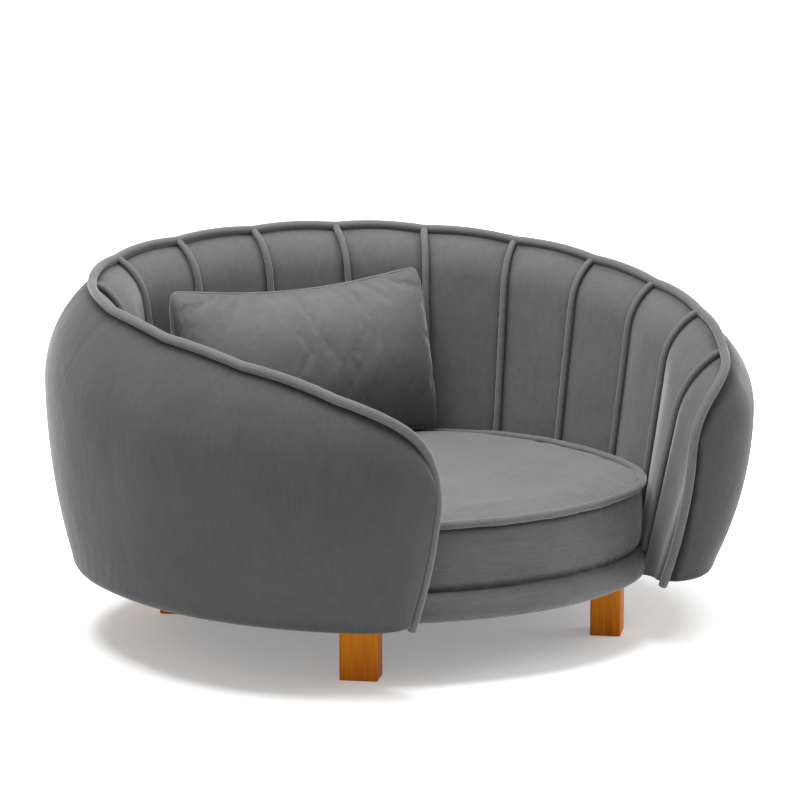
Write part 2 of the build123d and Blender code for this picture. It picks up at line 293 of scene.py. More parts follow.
@dataclass(frozen=True)
class StainedWood:
    """Straight-grained wood under an orange-brown satin stain, the grain running up the piece."""

    name: str = "stained_wood"
    pale: tuple[float, float, float] = (0.95, 0.33, 0.004)
    dark: tuple[float, float, float] = (0.42, 0.095, 0.001)

    def build(self) -> bpy.types.Material:
        """Make the material.

        Returns:
            The material.
        """
        kit = FinishKit(self.name)
        grain = kit.noise(kit.coordinates((1, 1, 0.05)), 420.0, 5.0, 0.62)
        broad = kit.noise(kit.coordinates((1, 1, 0.12)), 90.0, 3.0, 0.5)
        # Painted shading: the tone rises with height, so each leg is lighter at the top and darker at its foot.
        height = kit.axis(kit.coordinates(), "Z") * 13.0
        tone = (grain * 0.75 + broad * 0.5 + height * 0.45 - 0.42).clamped()
        kit.set(Base_Color=kit.blend_colours(tone, self.dark, self.pale), Roughness=0.5,
                Specular_IOR_Level=0.12, Coat_Roughness=0.3)
        kit.set(Coat_Weight=0.03, Normal=kit.bump(grain, 0.0003))
        return kit.material


@dataclass(frozen=True)
class Plywood:
    """Bare birch plywood with faint figure."""

    name: str = "bare_plywood"

    def build(self) -> bpy.types.Material:
        """Make the material.

        Returns:
            The material.
        """
        kit = FinishKit(self.name)
        figure = kit.noise(kit.coordinates((0.15, 1, 1)), 60.0, 5.0, 0.6)
        kit.set(Base_Color=kit.blend_colours(figure, (0.36, 0.22, 0.10), (0.58, 0.42, 0.25)), Roughness=0.7,
                Normal=kit.bump(figure, 0.0002))
        return kit.material


@dataclass(frozen=True)
class DustCloth:
    """Black spun-bonded cloth under the base."""

    name: str = "dust_cloth"

    def build(self) -> bpy.types.Material:
        """Make the material.

        Returns:
            The material.
        """
        kit = FinishKit(self.name)
        specks = kit.noise(kit.coordinates(), 900.0, 2.0, 0.7)
        kit.set(Base_Color=kit.blend_colours(specks, (0.012, 0.012, 0.012), (0.035, 0.035, 0.035)),
                Roughness=0.95, Normal=kit.bump(specks, 0.0002))
        return kit.material


@dataclass(frozen=True)
class ZincPlate:
    """Zinc-plated steel of the bolts and nuts."""

    name: str = "zinc_plate"

    def build(self) -> bpy.types.Material:
        """Make the material.

        Returns:
            The material.
        """
        kit = FinishKit(self.name)
        bloom = kit.noise(kit.coordinates(), 300.0, 3.0, 0.6)
        kit.set(Base_Color=kit.blend_colours(bloom, (0.5, 0.51, 0.52), (0.72, 0.72, 0.70)), Metallic=1.0,
                Roughness=bloom * 0.25 + 0.25)
        return kit.material


# Mesh making


def put_mesh(name: str, points: np.ndarray, faces: list[np.ndarray], sharp_deg: float) -> bpy.types.Object:
    """Make a smooth-shaded object from points and blocks of faces.

    Args:
        name: The piece's name.
        points: Vertices, shape (n, 3), in metres.
        faces: Arrays of vertex numbers, each of shape (m, 3) or (m, 4).
        sharp_deg: Edges that turn by more than this stay sharp.

    Returns:
        The object, linked and at the origin. The blocks are turned round when their signed volume, the sum
        over triangles of a . (b x c) / 6, comes out negative.
    """
    total = 0.0
    for block in faces:
        for k in range(1, block.shape[1] - 1):
            a, b, c = points[block[:, 0]], points[block[:, k]], points[block[:, k + 1]]
            total += float(np.einsum("ij,ij->", a, np.cross(b, c)))
    if total < 0:
        faces = [block[:, ::-1] for block in faces]
    mesh = bpy.data.meshes.new(name)
    mesh.from_pydata(points.tolist(), [], [face for block in faces for face in block.tolist()])
    mesh.polygons.foreach_set("use_smooth", np.ones(len(mesh.polygons), bool))
    mesh.set_sharp_from_angle(angle=math.radians(sharp_deg))
    mesh.update()
    made = bpy.data.objects.new(name, mesh)
    bpy.context.scene.collection.objects.link(made)
    return made


def grid_faces(rows: int, columns: int, start: int = 0, round_rows: bool = False,
               round_columns: bool = False) -> np.ndarray:
    """Quads of a grid whose vertex at (i, j) has number start + i * columns + j.

    Args:
        rows: Vertices along i.
        columns: Vertices along j.
        start: Number of the first vertex.
        round_rows: Whether the last row joins the first.
        round_columns: Whether the last column joins the first.

    Returns:
        Vertex numbers, shape (m, 4).
    """
    i = np.arange(rows if round_rows else rows - 1)
    j = np.arange(columns if round_columns else columns - 1)
    i, j = (part.ravel() for part in np.meshgrid(i, j, indexing="ij"))
    i2, j2 = (i + 1) % rows, (j + 1) % columns
    return start + np.stack([i * columns + j, i2 * columns + j, i2 * columns + j2, i * columns + j2], 1)


def stacked(name: str, rings: np.ndarray, tips: np.ndarray, sharp_deg: float) -> bpy.types.Object:
    """Join a stack of rings into a skin and close each end round its tip.

    Args:
        name: The piece's name.
        rings: Points, shape (rings, points round, 3).
        tips: The first and the last end's closing point, shape (2, 3).
        sharp_deg: Edges that turn by more than this stay sharp.

    Returns:
        The object.
    """
    rows, columns = rings.shape[:2]
    j, count = np.arange(columns), rows * columns
    after = (j + 1) % columns
    faces = [grid_faces(rows, columns, round_columns=True), np.stack([np.full(columns, count), j, after], 1),
             np.stack([np.full(columns, count + 1), count - columns + after, count - columns + j], 1)]
    return put_mesh(name, np.concatenate([rings.reshape(-1, 3), tips]), faces, sharp_deg)


def hoop(name: str, path: np.ndarray, across: np.ndarray, lift: np.ndarray, radius: float | np.ndarray,
         sides: int) -> bpy.types.Object:
    """Piping that runs round and joins itself.

    Args:
        name: The piece's name.
        path: Centre line as a ring of points, shape (n, 3).
        across: Unit direction square to the path, shape (n, 3) or (3,).
        lift: Unit direction square to both, shape (n, 3) or (3,).
        radius: Radius in metres, one or n.
        sides: Points round the section.

    Returns:
        The object. A ring point is centre + r * (cos a * across + sin a * lift).
    """
    across, lift = (np.broadcast_to(way, path.shape)[:, None] for way in (across, lift))
    turn = np.linspace(0, 2 * np.pi, sides, endpoint=False)[None, :, None]
    ring = np.cos(turn) * across + np.sin(turn) * lift
    points = path[:, None] + np.broadcast_to(radius, len(path))[:, None, None] * ring
    faces = grid_faces(len(path), sides, round_rows=True, round_columns=True)
    return put_mesh(name, points.reshape(-1, 3), [faces], 80.0)


def dress(piece: bpy.types.Object, finishes: list[bpy.types.Material], body: str, node: str) -> bpy.types.Object:
    """Give a piece its finishes and its place in the frame.

    Args:
        piece: The finished mesh object.
        finishes: Its materials, in the order of its faces' material numbers.
        body: The moving body that it rides.
        node: The CAD node that it replaces.

    Returns:
        The piece.
    """
    for finish in finishes:
        piece.data.materials.append(finish)
    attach(piece, body)
    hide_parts(node)
    return piece


def slab(name: str, front: np.ndarray, back: np.ndarray, sharp_deg: float) -> bpy.types.Object:
    """Close two sheets of equal grids into one solid skin.

    Args:
        name: The piece's name.
        front: Points of the seen sheet, shape (rows, columns, 3).
        back: Points of the hidden sheet, as many.
        sharp_deg: Edges that turn by more than this stay sharp.

    Returns:
        The object: both sheets, and a strip of quads round their rims.
    """
    rows, columns = front.shape[:2]
    count = rows * columns
    number = np.arange(count).reshape(rows, columns)
    rim = np.concatenate([number[0, :-1], number[:-1, -1], number[-1, :0:-1], number[:0:-1, 0]])
    after = np.roll(rim, -1)
    strip = np.stack([rim, after, after + count, rim + count], 1)
    faces = [grid_faces(rows, columns)[:, ::-1], grid_faces(rows, columns, count), strip[:, ::-1]]
    points = np.concatenate([front.reshape(-1, 3), back.reshape(-1, 3)])
    return put_mesh(name, points, faces, sharp_deg)


def tube(name: str, path: np.ndarray, guide: np.ndarray, radius: float, sides: int, pinch: float, seed: int,
         dome: float = 1.0) -> bpy.types.Object:
    """Round piping along a path, with both ends closed by a low dome.

    Args:
        name: The piece's name.
        path: Centre line, shape (n, 3).
        guide: A direction at each point that the path never runs along, shape (n, 3) or (3,).
        radius: Radius in metres.
        sides: Points round the section.
        pinch: Share by which the radius wanders, as cord in a cloth sleeve does.
        seed: Seed of the wander.
        dome: How high the ends stand, as a share of a full dome.

    Returns:
        The object. A ring point is centre + r * (cos a * side + sin a * lift), side being tangent x guide.
    """
    tangent = np.gradient(path, axis=0)
    tangent /= np.linalg.norm(tangent, axis=1, keepdims=True)
    across = np.cross(tangent, np.broadcast_to(guide, path.shape))
    across /= np.linalg.norm(across, axis=1, keepdims=True)
    lift = np.cross(across, tangent)
    length = np.concatenate([[0], np.cumsum(np.linalg.norm(np.diff(path, axis=0), axis=1))])
    rng = np.random.default_rng(seed)
    waves = ((260, 0.5), (410, 0.3), (95, 0.4))
    wander = sum(np.sin(length * pace + rng.uniform(0, 6.28)) * weight for pace, weight in waves)
    r = radius * (1 - pinch * (0.5 + 0.5 * wander / 1.2))
    turn = np.linspace(0, 2 * np.pi, sides, endpoint=False)
    ring = np.cos(turn)[None, :, None] * across[:, None] + np.sin(turn)[None, :, None] * lift[:, None]
    body = path[:, None] + r[:, None, None] * ring
    caps = []
    for end, way in ((0, -1), (-1, 1)):
        for share, grow in ((0.35, 0.9), (0.6, 0.6)):
            caps.append(path[end] + way * tangent[end] * radius * share * dome + radius * grow * ring[end])
    tips = [path[0] - tangent[0] * radius * 0.72 * dome, path[-1] + tangent[-1] * radius * 0.72 * dome]
    rings = np.concatenate([caps[1][None], caps[0][None], body, caps[2][None], caps[3][None]])
    return stacked(name, rings, np.array(tips), 80.0)


def arc(start: np.ndarray, end: np.ndarray, tangent: np.ndarray, share: np.ndarray) -> np.ndarray:
    """Points on the circle arc that leaves start along tangent and reaches end.

    Args:
        start: Shape (n, 2).
        end: Shape (n, 2).
        tangent: Direction at the start, shape (n, 2) or (2,).
        share: How far along the arc, shape (k,).

    Returns:
        Shape (n, k, 2). With a the angle from tangent to chord, the point is start + chord length * sin(a s)
        / sin(a) along the tangent turned by a s.
    """
    tangent = np.broadcast_to(tangent, start.shape)
    tangent = tangent / np.linalg.norm(tangent, axis=1, keepdims=True)
    chord = end - start
    length = np.linalg.norm(chord, axis=1)
    a = np.arctan2(tangent[:, 0] * chord[:, 1] - tangent[:, 1] * chord[:, 0], (tangent * chord).sum(1))
    a = np.where(np.abs(a) < 1e-6, 1e-6, a)[:, None]
    turn = a * share[None]
    reach = length[:, None] * np.sin(turn) / np.sin(a)
    c, s = np.cos(turn), np.sin(turn)
    x = tangent[:, :1] * c - tangent[:, 1:] * s
    y = tangent[:, :1] * s + tangent[:, 1:] * c
    return start[:, None] + np.stack([reach * x, reach * y], -1)


def walk_arcs(arcs: tuple[tuple[float, float], ...], start_y: float,
              left: np.ndarray) -> tuple[np.ndarray, np.ndarray, np.ndarray]:
    """Plan place after a length along tangent arcs that leave the middle line along +X.

    Args:
        arcs: Radius in millimetres and sweep in degrees of each arc.
        start_y: Where the walk starts on the middle line.
        left: Lengths to walk, shape (n,).

    Returns:
        x, y in millimetres and the outward angle in degrees. With a the angle before an arc and t its turn,
        the arc adds radius * (cos(a - t) - cos a) to x and radius * (sin(a - t) - sin a) to y.
    """
    x, y, angle = np.zeros_like(left), np.full_like(left, start_y), np.full_like(left, 90.0)
    for radius, sweep in arcs:
        turn = np.minimum(sweep, np.degrees(left / radius))
        x = x - radius * (np.cos(np.radians(angle)) - np.cos(np.radians(angle - turn)))
        y = y - radius * (np.sin(np.radians(angle)) - np.sin(np.radians(angle - turn)))
        angle = angle - turn
        left = left - radius * np.radians(turn)
    return x, y, angle


def line(start: np.ndarray, end: np.ndarray, share: np.ndarray) -> np.ndarray:
    """Points at shares of a straight line.

    Args:
        start: Shape (n, 2).
        end: Shape (n, 2).
        share: How far along, shape (k,).

    Returns:
        Shape (n, k, 2).
    """
    return start[:, None] + (end - start)[:, None] * share[None, :, None]


def evened(path: np.ndarray, count: int) -> np.ndarray:
    """The same profile, re-sampled at even steps of length.

    Args:
        path: Shape (n, k, d).
        count: Points wanted.

    Returns:
        Shape (n, count, d).
    """
    step = np.linalg.norm(np.diff(path, axis=1), axis=2)
    run = np.concatenate([np.zeros((len(path), 1)), np.cumsum(step, 1)], 1)
    run /= run[:, -1:]
    want = np.linspace(0, 1, count)
    place = np.stack([np.clip(np.searchsorted(r, want, side="right") - 1, 0, len(r) - 2) for r in run])
    low = np.take_along_axis(run, place, 1)
    high = np.take_along_axis(run, place + 1, 1)
    t = ((want[None] - low) / np.maximum(high - low, 1e-12))[..., None]
    a = np.take_along_axis(path, place[..., None].repeat(path.shape[2], 2), 1)
    b = np.take_along_axis(path, (place + 1)[..., None].repeat(path.shape[2], 2), 1)
    return a + (b - a) * t


def run_length(points: np.ndarray, axis: int) -> np.ndarray:
    """Length walked along one axis of a grid of points.

    Args:
        points: Shape (rows, columns, 3).
        axis: The axis walked along.

    Returns:
        Shape (rows, columns), the sum of the steps up to each point.
    """
    step = np.linalg.norm(np.diff(points, axis=axis), axis=-1)
    return np.concatenate([np.zeros_like(np.take(step, [0], axis)), np.cumsum(step, axis)], axis)


def ripple(points: np.ndarray, pitch: float, seed: int, terms: int = 9) -> np.ndarray:
    """Smooth relief from -1 to 1: a sum of sine waves in seeded directions.

    Args:
        points: Places in metres, shape (..., 3).
        pitch: About the length of a wave, in metres.
        seed: Seed of directions and phases.
        terms: How many waves.

    Returns:
        Shape (...).
    """
    rng = np.random.default_rng(seed)
    ways = rng.normal(size=(terms, 3))
    ways /= np.linalg.norm(ways, axis=1, keepdims=True)
    k = 2 * np.pi / pitch * rng.uniform(0.6, 1.5, terms)
    phase = rng.uniform(0, 2 * np.pi, terms)
    return np.sin((points @ ways.T) * k + phase).sum(-1) / math.sqrt(terms) / 1.6


def normals(points: np.ndarray) -> np.ndarray:
    """Unit normals of a sheet, the cross product of its grid's two directions.

    Args:
        points: Shape (rows, columns, 3).

    Returns:
        Shape (rows, columns, 3).
    """
    n = np.cross(np.gradient(points, axis=0), np.gradient(points, axis=1))
    return n / np.maximum(np.linalg.norm(n, axis=-1, keepdims=True), 1e-12)


def inward(points: np.ndarray) -> np.ndarray:
    """Unit normals of a sheet of the tub, turned towards the tub's middle.

    Args:
        points: Shape (rows, columns, 3).

    Returns:
        Shape (rows, columns, 3).
    """
    n = normals(points)
    return n * np.sign(((np.array([0.0, 0.0, 0.45]) - points) * n).sum())


# Stuffing


@dataclass(frozen=True)
class Stuffing:
    """Fills a closed skin: Blender's cloth blown up from inside, held along its seams."""

    voxel: float = 0.005
    pressure: float = 4.0
    cap: float = 0.008
    slack: float = 0.02
    frames: int = 20

    def fill(self, piece: bpy.types.Object, seam: Callable[[np.ndarray], np.ndarray]) -> None:
        """Remesh the piece, blow it up and subdivide it once.

        Args:
            piece: A closed piece, a little smaller than it ends.
            seam: From points of shape (n, 3) in metres to a hold on each, 1 on a seam and 0 off it.
        """
        piece.modifiers.new("even_quads", "REMESH").voxel_size = self.voxel
        self.bake(piece)
        self.blow(piece, seam)
        divide = piece.modifiers.new("divide", "SUBSURF")
        divide.levels = divide.render_levels = 1
        self.bake(piece)

    def blow(self, piece: bpy.types.Object, seam: Callable[[np.ndarray], np.ndarray]) -> None:
        """Run the cloth and keep its result, with no point moved further than the cap.

        Args:
            piece: The remeshed piece.
            seam: As for fill.
        """
        start = vertices(piece.data)
        group = piece.vertex_groups.new(name="seam")
        hold = np.round(np.clip(seam(start), 0, 1) * 4).astype(int)
        for level in range(1, 5):
            group.add(np.flatnonzero(hold == level).tolist(), level / 4, "REPLACE")
        cloth = piece.modifiers.new("cloth", "CLOTH")
        cloth.settings.use_pressure = True
        cloth.settings.uniform_pressure_force = self.pressure
        cloth.settings.effector_weights.gravity = 0
        cloth.settings.vertex_group_mass = group.name
        cloth.settings.shrink_min = -self.slack
        cloth.settings.quality = 5
        cloth.collision_settings.use_collision = False
        cloth.point_cache.frame_start, cloth.point_cache.frame_end = 1, self.frames
        for frame_number in range(1, self.frames + 1):
            bpy.context.scene.frame_set(frame_number)
        self.bake(piece)
        bpy.context.scene.frame_set(1)
        moved = vertices(piece.data) - start
        reach = np.linalg.norm(moved, axis=1, keepdims=True)
        put_vertices(piece.data, start + moved * np.minimum(1, self.cap / np.maximum(reach, 1e-9)))
        LOG.info("%s: cloth moved its points up to %.1f mm", piece.name, float(reach.max()) / MM)

    @staticmethod
    def bake(piece: bpy.types.Object) -> None:
        """Take the mesh as the modifiers show it in place of the piece's own, and drop the modifiers.

        Args:
            piece: The piece.
        """
        shown = piece.evaluated_get(bpy.context.evaluated_depsgraph_get())
        mesh = bpy.data.meshes.new_from_object(shown)
        mesh.name = piece.name
        piece.modifiers.clear()
        piece.vertex_groups.clear()
        piece.data = mesh


def vertices(mesh: bpy.types.Mesh) -> np.ndarray:
    """Read the mesh's vertices.

    Args:
        mesh: Any mesh.

    Returns:
        Shape (n, 3), in metres.
    """
    flat = np.empty(len(mesh.vertices) * 3)
    mesh.vertices.foreach_get("co", flat)
    return flat.reshape(-1, 3)


def put_vertices(mesh: bpy.types.Mesh, points: np.ndarray) -> None:
    """Move the mesh's vertices.

    Args:
        mesh: The piece's mesh.
        points: Shape (n, 3), in metres.
    """
    mesh.vertices.foreach_set("co", points.ravel())
    mesh.update()


def facing_out(mesh: bpy.types.Mesh) -> np.ndarray:
    """Read the mesh's vertex normals.

    Args:
        mesh: Any mesh.

    Returns:
        Shape (n, 3).
    """
    flat = np.empty(len(mesh.vertices) * 3)
    mesh.vertex_normals.foreach_get("vector", flat)
    return flat.reshape(-1, 3)


def shade(mesh: bpy.types.Mesh, painted_shade: np.ndarray) -> None:
    """Write the painted shade of each vertex, 1 deep in a seam, as the attribute that the velvet darkens by.

    Args:
        mesh: The piece's mesh.
        painted_shade: 0 on the open cloth to 1 in a seam, one a vertex.
    """
    layer = mesh.attributes.new("painted_shade", "FLOAT", "POINT")
    layer.data.foreach_set("value", np.ascontiguousarray(painted_shade, np.float32).ravel())


# The tub's wall


@dataclass(frozen=True)
class WallShape:
    """Sizes of the tub's wall in millimetres, and its section at a place u from -1 to 1 along the rim."""

    rim_back: float = 271.3
    arcs: tuple[tuple[float, float], ...] = ((612, 12.4), (246, 70.3), (481, 41.1), (91, 56.2))
    channels: int = 8
    rim_height: float = 401.5
    side_fall: float = 68
    nose_fall: float = 74
    nose_power: float = 8
    corner_fall: float = 25
    corner_power: float = 56
    scallop: float = 2
    base: float = 73
    board: float = 15
    arm_start: float = 0.6
    crown: float = 7.0
    swell_depth: float = 24

    def plan(self, u: np.ndarray) -> tuple[np.ndarray, np.ndarray, np.ndarray]:
        """Plan place and outward angle in degrees of the rim line.

        Args:
            u: Places along the rim, 0 at the back, 1 and -1 at the noses.

        Returns:
            x, y in millimetres and the angle, mirrored where u is negative.
        """
        length = sum(r * math.radians(s) for r, s in self.arcs)
        x, y, angle = walk_arcs(self.arcs, self.rim_back, np.abs(u) * length)
        return np.where(u < 0, -x, x), y, np.where(u < 0, 180 - angle, angle)

    def place(self, u: np.ndarray, out: np.ndarray, up: np.ndarray,
              across: float | np.ndarray = 0.0) -> np.ndarray:
        """Places along the rim carried outward, up and along it.

        Args:
            u: Places along the rim.
            out: Distance along the outward angle, in millimetres.
            up: Height in millimetres.
            across: Distance square to the outward angle, in millimetres.

        Returns:
            Points in metres, shape (..., 3).
        """
        x, y, angle = self.plan(u)
        c, s = np.cos(np.radians(angle)), np.sin(np.radians(angle))
        return np.stack(np.broadcast_arrays(x + out * c + across * s, y + out * s - across * c, up), -1) * MM

    def arm(self, u: np.ndarray) -> np.ndarray:
        """0 along the back and sides, rising to 1 at the nose."""
        return np.maximum(0, (np.abs(u) - self.arm_start) / (1 - self.arm_start))

    def mix(self, nose: float, side: float, u: np.ndarray) -> np.ndarray:
        """A size that goes from its side value to its nose value as a quarter cosine."""
        return nose + (side - nose) * np.cos(self.arm(u) * np.pi / 2)

    def flute(self, u: np.ndarray) -> np.ndarray:
        """0 on a channel joint, 1 in the middle of a channel."""
        return np.abs(np.sin(np.pi * u * self.channels))

    def crest(self, u: np.ndarray) -> np.ndarray:
        """Height from which the padding hangs: the rim's own, but for its rounding over the nose.

        Args:
            u: Places along the rim.

        Returns:
            Millimetres: the rim's height less a half cosine to the side, less a power of |u| to the nose,
            plus the scallop.
        """
        side = self.side_fall * (1 - np.cos(np.pi * np.abs(u))) / 2
        nose = self.nose_fall * np.abs(u) ** self.nose_power
        return self.rim_height - side - nose + self.scallop * self.flute(u)

    def rim_z(self, u: np.ndarray) -> np.ndarray:
        """Height of the rim."""
        return self.crest(u) - self.corner_fall * np.abs(u) ** self.corner_power

    def slope(self, u: np.ndarray) -> np.ndarray:
        """Steepness of the rim's fall towards the nose.

        Args:
            u: Places along the rim.

        Returns:
            Radians, the arc tangent of the derivative of rim_z by length.
        """
        reach = np.abs(u)
        fall = (self.side_fall * np.sin(np.pi * reach) * np.pi / 2
                + self.nose_fall * self.nose_power * reach ** (self.nose_power - 1)
                + self.corner_fall * self.corner_power * reach ** (self.corner_power - 1))
        return np.arctan(fall / sum(radius * math.radians(sweep) for radius, sweep in self.arcs))

    def rim_out(self, u: np.ndarray) -> np.ndarray:
        """How far the rim line lies outside its plan line."""
        return self.mix(-8, 0, u)

    def core(self, u: np.ndarray, side: int) -> tuple[np.ndarray, np.ndarray, np.ndarray]:
        """The face of the core inside the padding.

        Args:
            u: Places along the rim.
            side: 1 for its outer face, -1 for its inner one.

        Returns:
            Top, knee and foot, each of shape (n, 2) as outward distance and height.
        """
        half = side * (self.mix(1.5, 6, u) + 0.8)
        top = np.stack([self.rim_out(u) + half, self.crest(u) - self.mix(45, 25, u)], -1)
        knee = np.stack([self.mix(-14, -1, u) + half, self.crest(u) - self.mix(85, 45, u)], -1)
        foot = np.stack([self.mix(-54, -4, u) + half, np.full_like(u, self.base)], -1)
        return top, knee, foot

    def outer(self, u: np.ndarray) -> tuple[np.ndarray, ...]:
        """The outer face's points.

        Args:
            u: Places along the rim.

        Returns:
            Rim, widest point, ankle, toe and the way down from the widest point, each of shape (n, 2), and
            the heel's radius. The way is straight down, but turns towards the ankle at the nose, where the
            face lies flatter.
        """
        rim = np.stack([self.rim_out(u) + 0.3, self.rim_z(u)], -1)
        bulge = np.stack([self.mix(-1, 52.5, u) + 6 * np.sin(np.pi * self.arm(u)),
                          self.crest(u) - self.mix(45, 95, u)], -1)
        heel = self.mix(6, 18, u)
        toe = np.stack([self.mix(-48, 8, u), np.full_like(u, self.base)], -1)
        ankle = toe + heel[:, None]
        chord = (ankle - bulge) / np.linalg.norm(ankle - bulge, axis=1, keepdims=True)
        flat = 0.5 * self.arm(u)[:, None] ** 6
        return rim, bulge, ankle, toe, (1 - flat) * np.array([0.0, -1.0]) + flat * chord, heel

    def face(self, u: np.ndarray, turns: int) -> np.ndarray:
        """Profile of the outer face from the rim to the toe.

        Args:
            u: Places along the rim.
            turns: Points of the heel's quarter round.

        Returns:
            Shape (n, k, 2): two arcs that meet at the widest point, and the heel.
        """
        rim, bulge, ankle, toe, way, heel = self.outer(u)
        share = np.linspace(0, 1, 60)
        turn = np.linspace(0, np.pi / 2, turns)[1:]
        centre = np.stack([toe[:, 0], toe[:, 1] + heel], -1)
        round_heel = centre[:, None] + heel[:, None, None] * np.stack([np.cos(turn), -np.sin(turn)], -1)[None]
        return np.concatenate([arc(bulge, rim, -way, share)[:, ::-1], arc(bulge, ankle, way, share)[:, 1:],
                               round_heel], 1)

    def inner(self, u: np.ndarray, puff: np.ndarray, last: bool = False) -> tuple[np.ndarray, np.ndarray]:
        """Shoulder and foot of the inner face.

        Args:
            u: Places along the rim.
            puff: Stuffing in millimetres, which pushes the face inward.
            last: Whether the face reaches down past the board's edge, as that of the last channel does.

        Returns:
            Both points, each of shape (n, 2) as outward distance and height.
        """
        sole = np.full_like(u, self.base if last else self.base + self.board)
        drop = self.mix(85, 45, u)
        swell = self.swell_depth * np.sin(np.pi * self.arm(u) ** 2.2)
        shoulder = np.stack([self.mix(-26, -32, u) - swell - puff, self.crest(u) - drop], -1)
        lean = -32 - 0.135 * (self.crest(u) - drop - sole)
        foot = np.stack([-68 + (lean + 68) * np.cos(self.arm(u) * np.pi / 2) - swell - puff, sole], -1)
        return shoulder, foot


@dataclass
class OuterCover:
    """The stretched cloth outside the tub, from under the rim welt round the heel to the base."""

    shape: WallShape
    finish: bpy.types.Material
    columns: int = 620
    rows: int = 64
    end_reach: float = 10.0
    end_drop_rim: float = 4.5
    end_drop_face: float = 7.5

    def build(self) -> list[bpy.types.Object]:
        """Make the cover.

        Returns:
            One closed piece. Its seen sheet follows the two arcs of the section; low ripples and short
            upright tucks above the heel and below the welt are added along its normals, and both ends turn
            in under the arm's welt by a quarter ellipse.
        """
        close = 1 - np.array([0.0004, 0.001, 0.002, 0.0035, 0.005, 0.007, 0.009])
        u = np.sort(np.concatenate([np.linspace(-1, 1, self.columns), close, -close]))
        seen = evened(self.shape.face(u, 12), self.rows)
        rim = np.stack([self.shape.rim_out(u) + 0.3, self.shape.rim_z(u)], -1)
        core_top, knee, foot = self.shape.core(u, 1)
        cut = np.stack([rim[:, 0], core_top[:, 1]], -1)
        hidden = evened(np.stack([rim, cut, core_top, knee, foot], 1), self.rows)
        front = self.shape.place(u[:, None], seen[..., 0], seen[..., 1])
        back = self.shape.place(u[:, None], hidden[..., 0], hidden[..., 1])
        along, down = run_length(front, 0), run_length(front, 1)
        share = np.linspace(0, 1, self.rows)[None]
        near_foot = np.exp(-((share - 0.9) / 0.07) ** 2)
        edge = np.clip((1 - share) / 0.06, 0, 1) * np.clip(down / 0.003, 0, 1)
        tucks = np.sin(along * 2 * np.pi / 0.017 + 2.5 * np.sin(along * 21))
        seam = np.exp(-((down - 0.006) / 0.006) ** 2)
        lift = 0.7 * ripple(front, 0.23, 3) + 0.12 * tucks * near_foot + (0.12 * tucks - 1.1) * seam
        end = np.minimum(along - along[:1], along[-1:] - along)
        drop = self.end_drop_rim + (self.end_drop_face - self.end_drop_rim) * np.clip(down / 0.02, 0, 1)
        tuck = drop * (1 - np.sqrt(1 - np.clip(1 - end / (self.end_reach * MM), 0, 1) ** 2))
        front = front + inward(front) * ((tuck - lift * edge) * MM)[..., None]
        piece = slab("outer_cover_cloth", front, back, 70.0)
        # Painted shade: dark just below the rim welt and in the groove at both nose ends, and up to 0.6 towards
        # the toe; the hidden sheet is painted fully dark.
        dark = np.maximum(np.exp(-(np.minimum(down, end * 1.3) / 0.010) ** 2),
                          0.6 * np.clip((share - 0.93) / 0.07, 0, 1))
        shade(piece.data, np.concatenate([dark.ravel(), np.ones(dark.size)]))
        return [dress(piece, [self.finish], "tub", "outer_cover")]


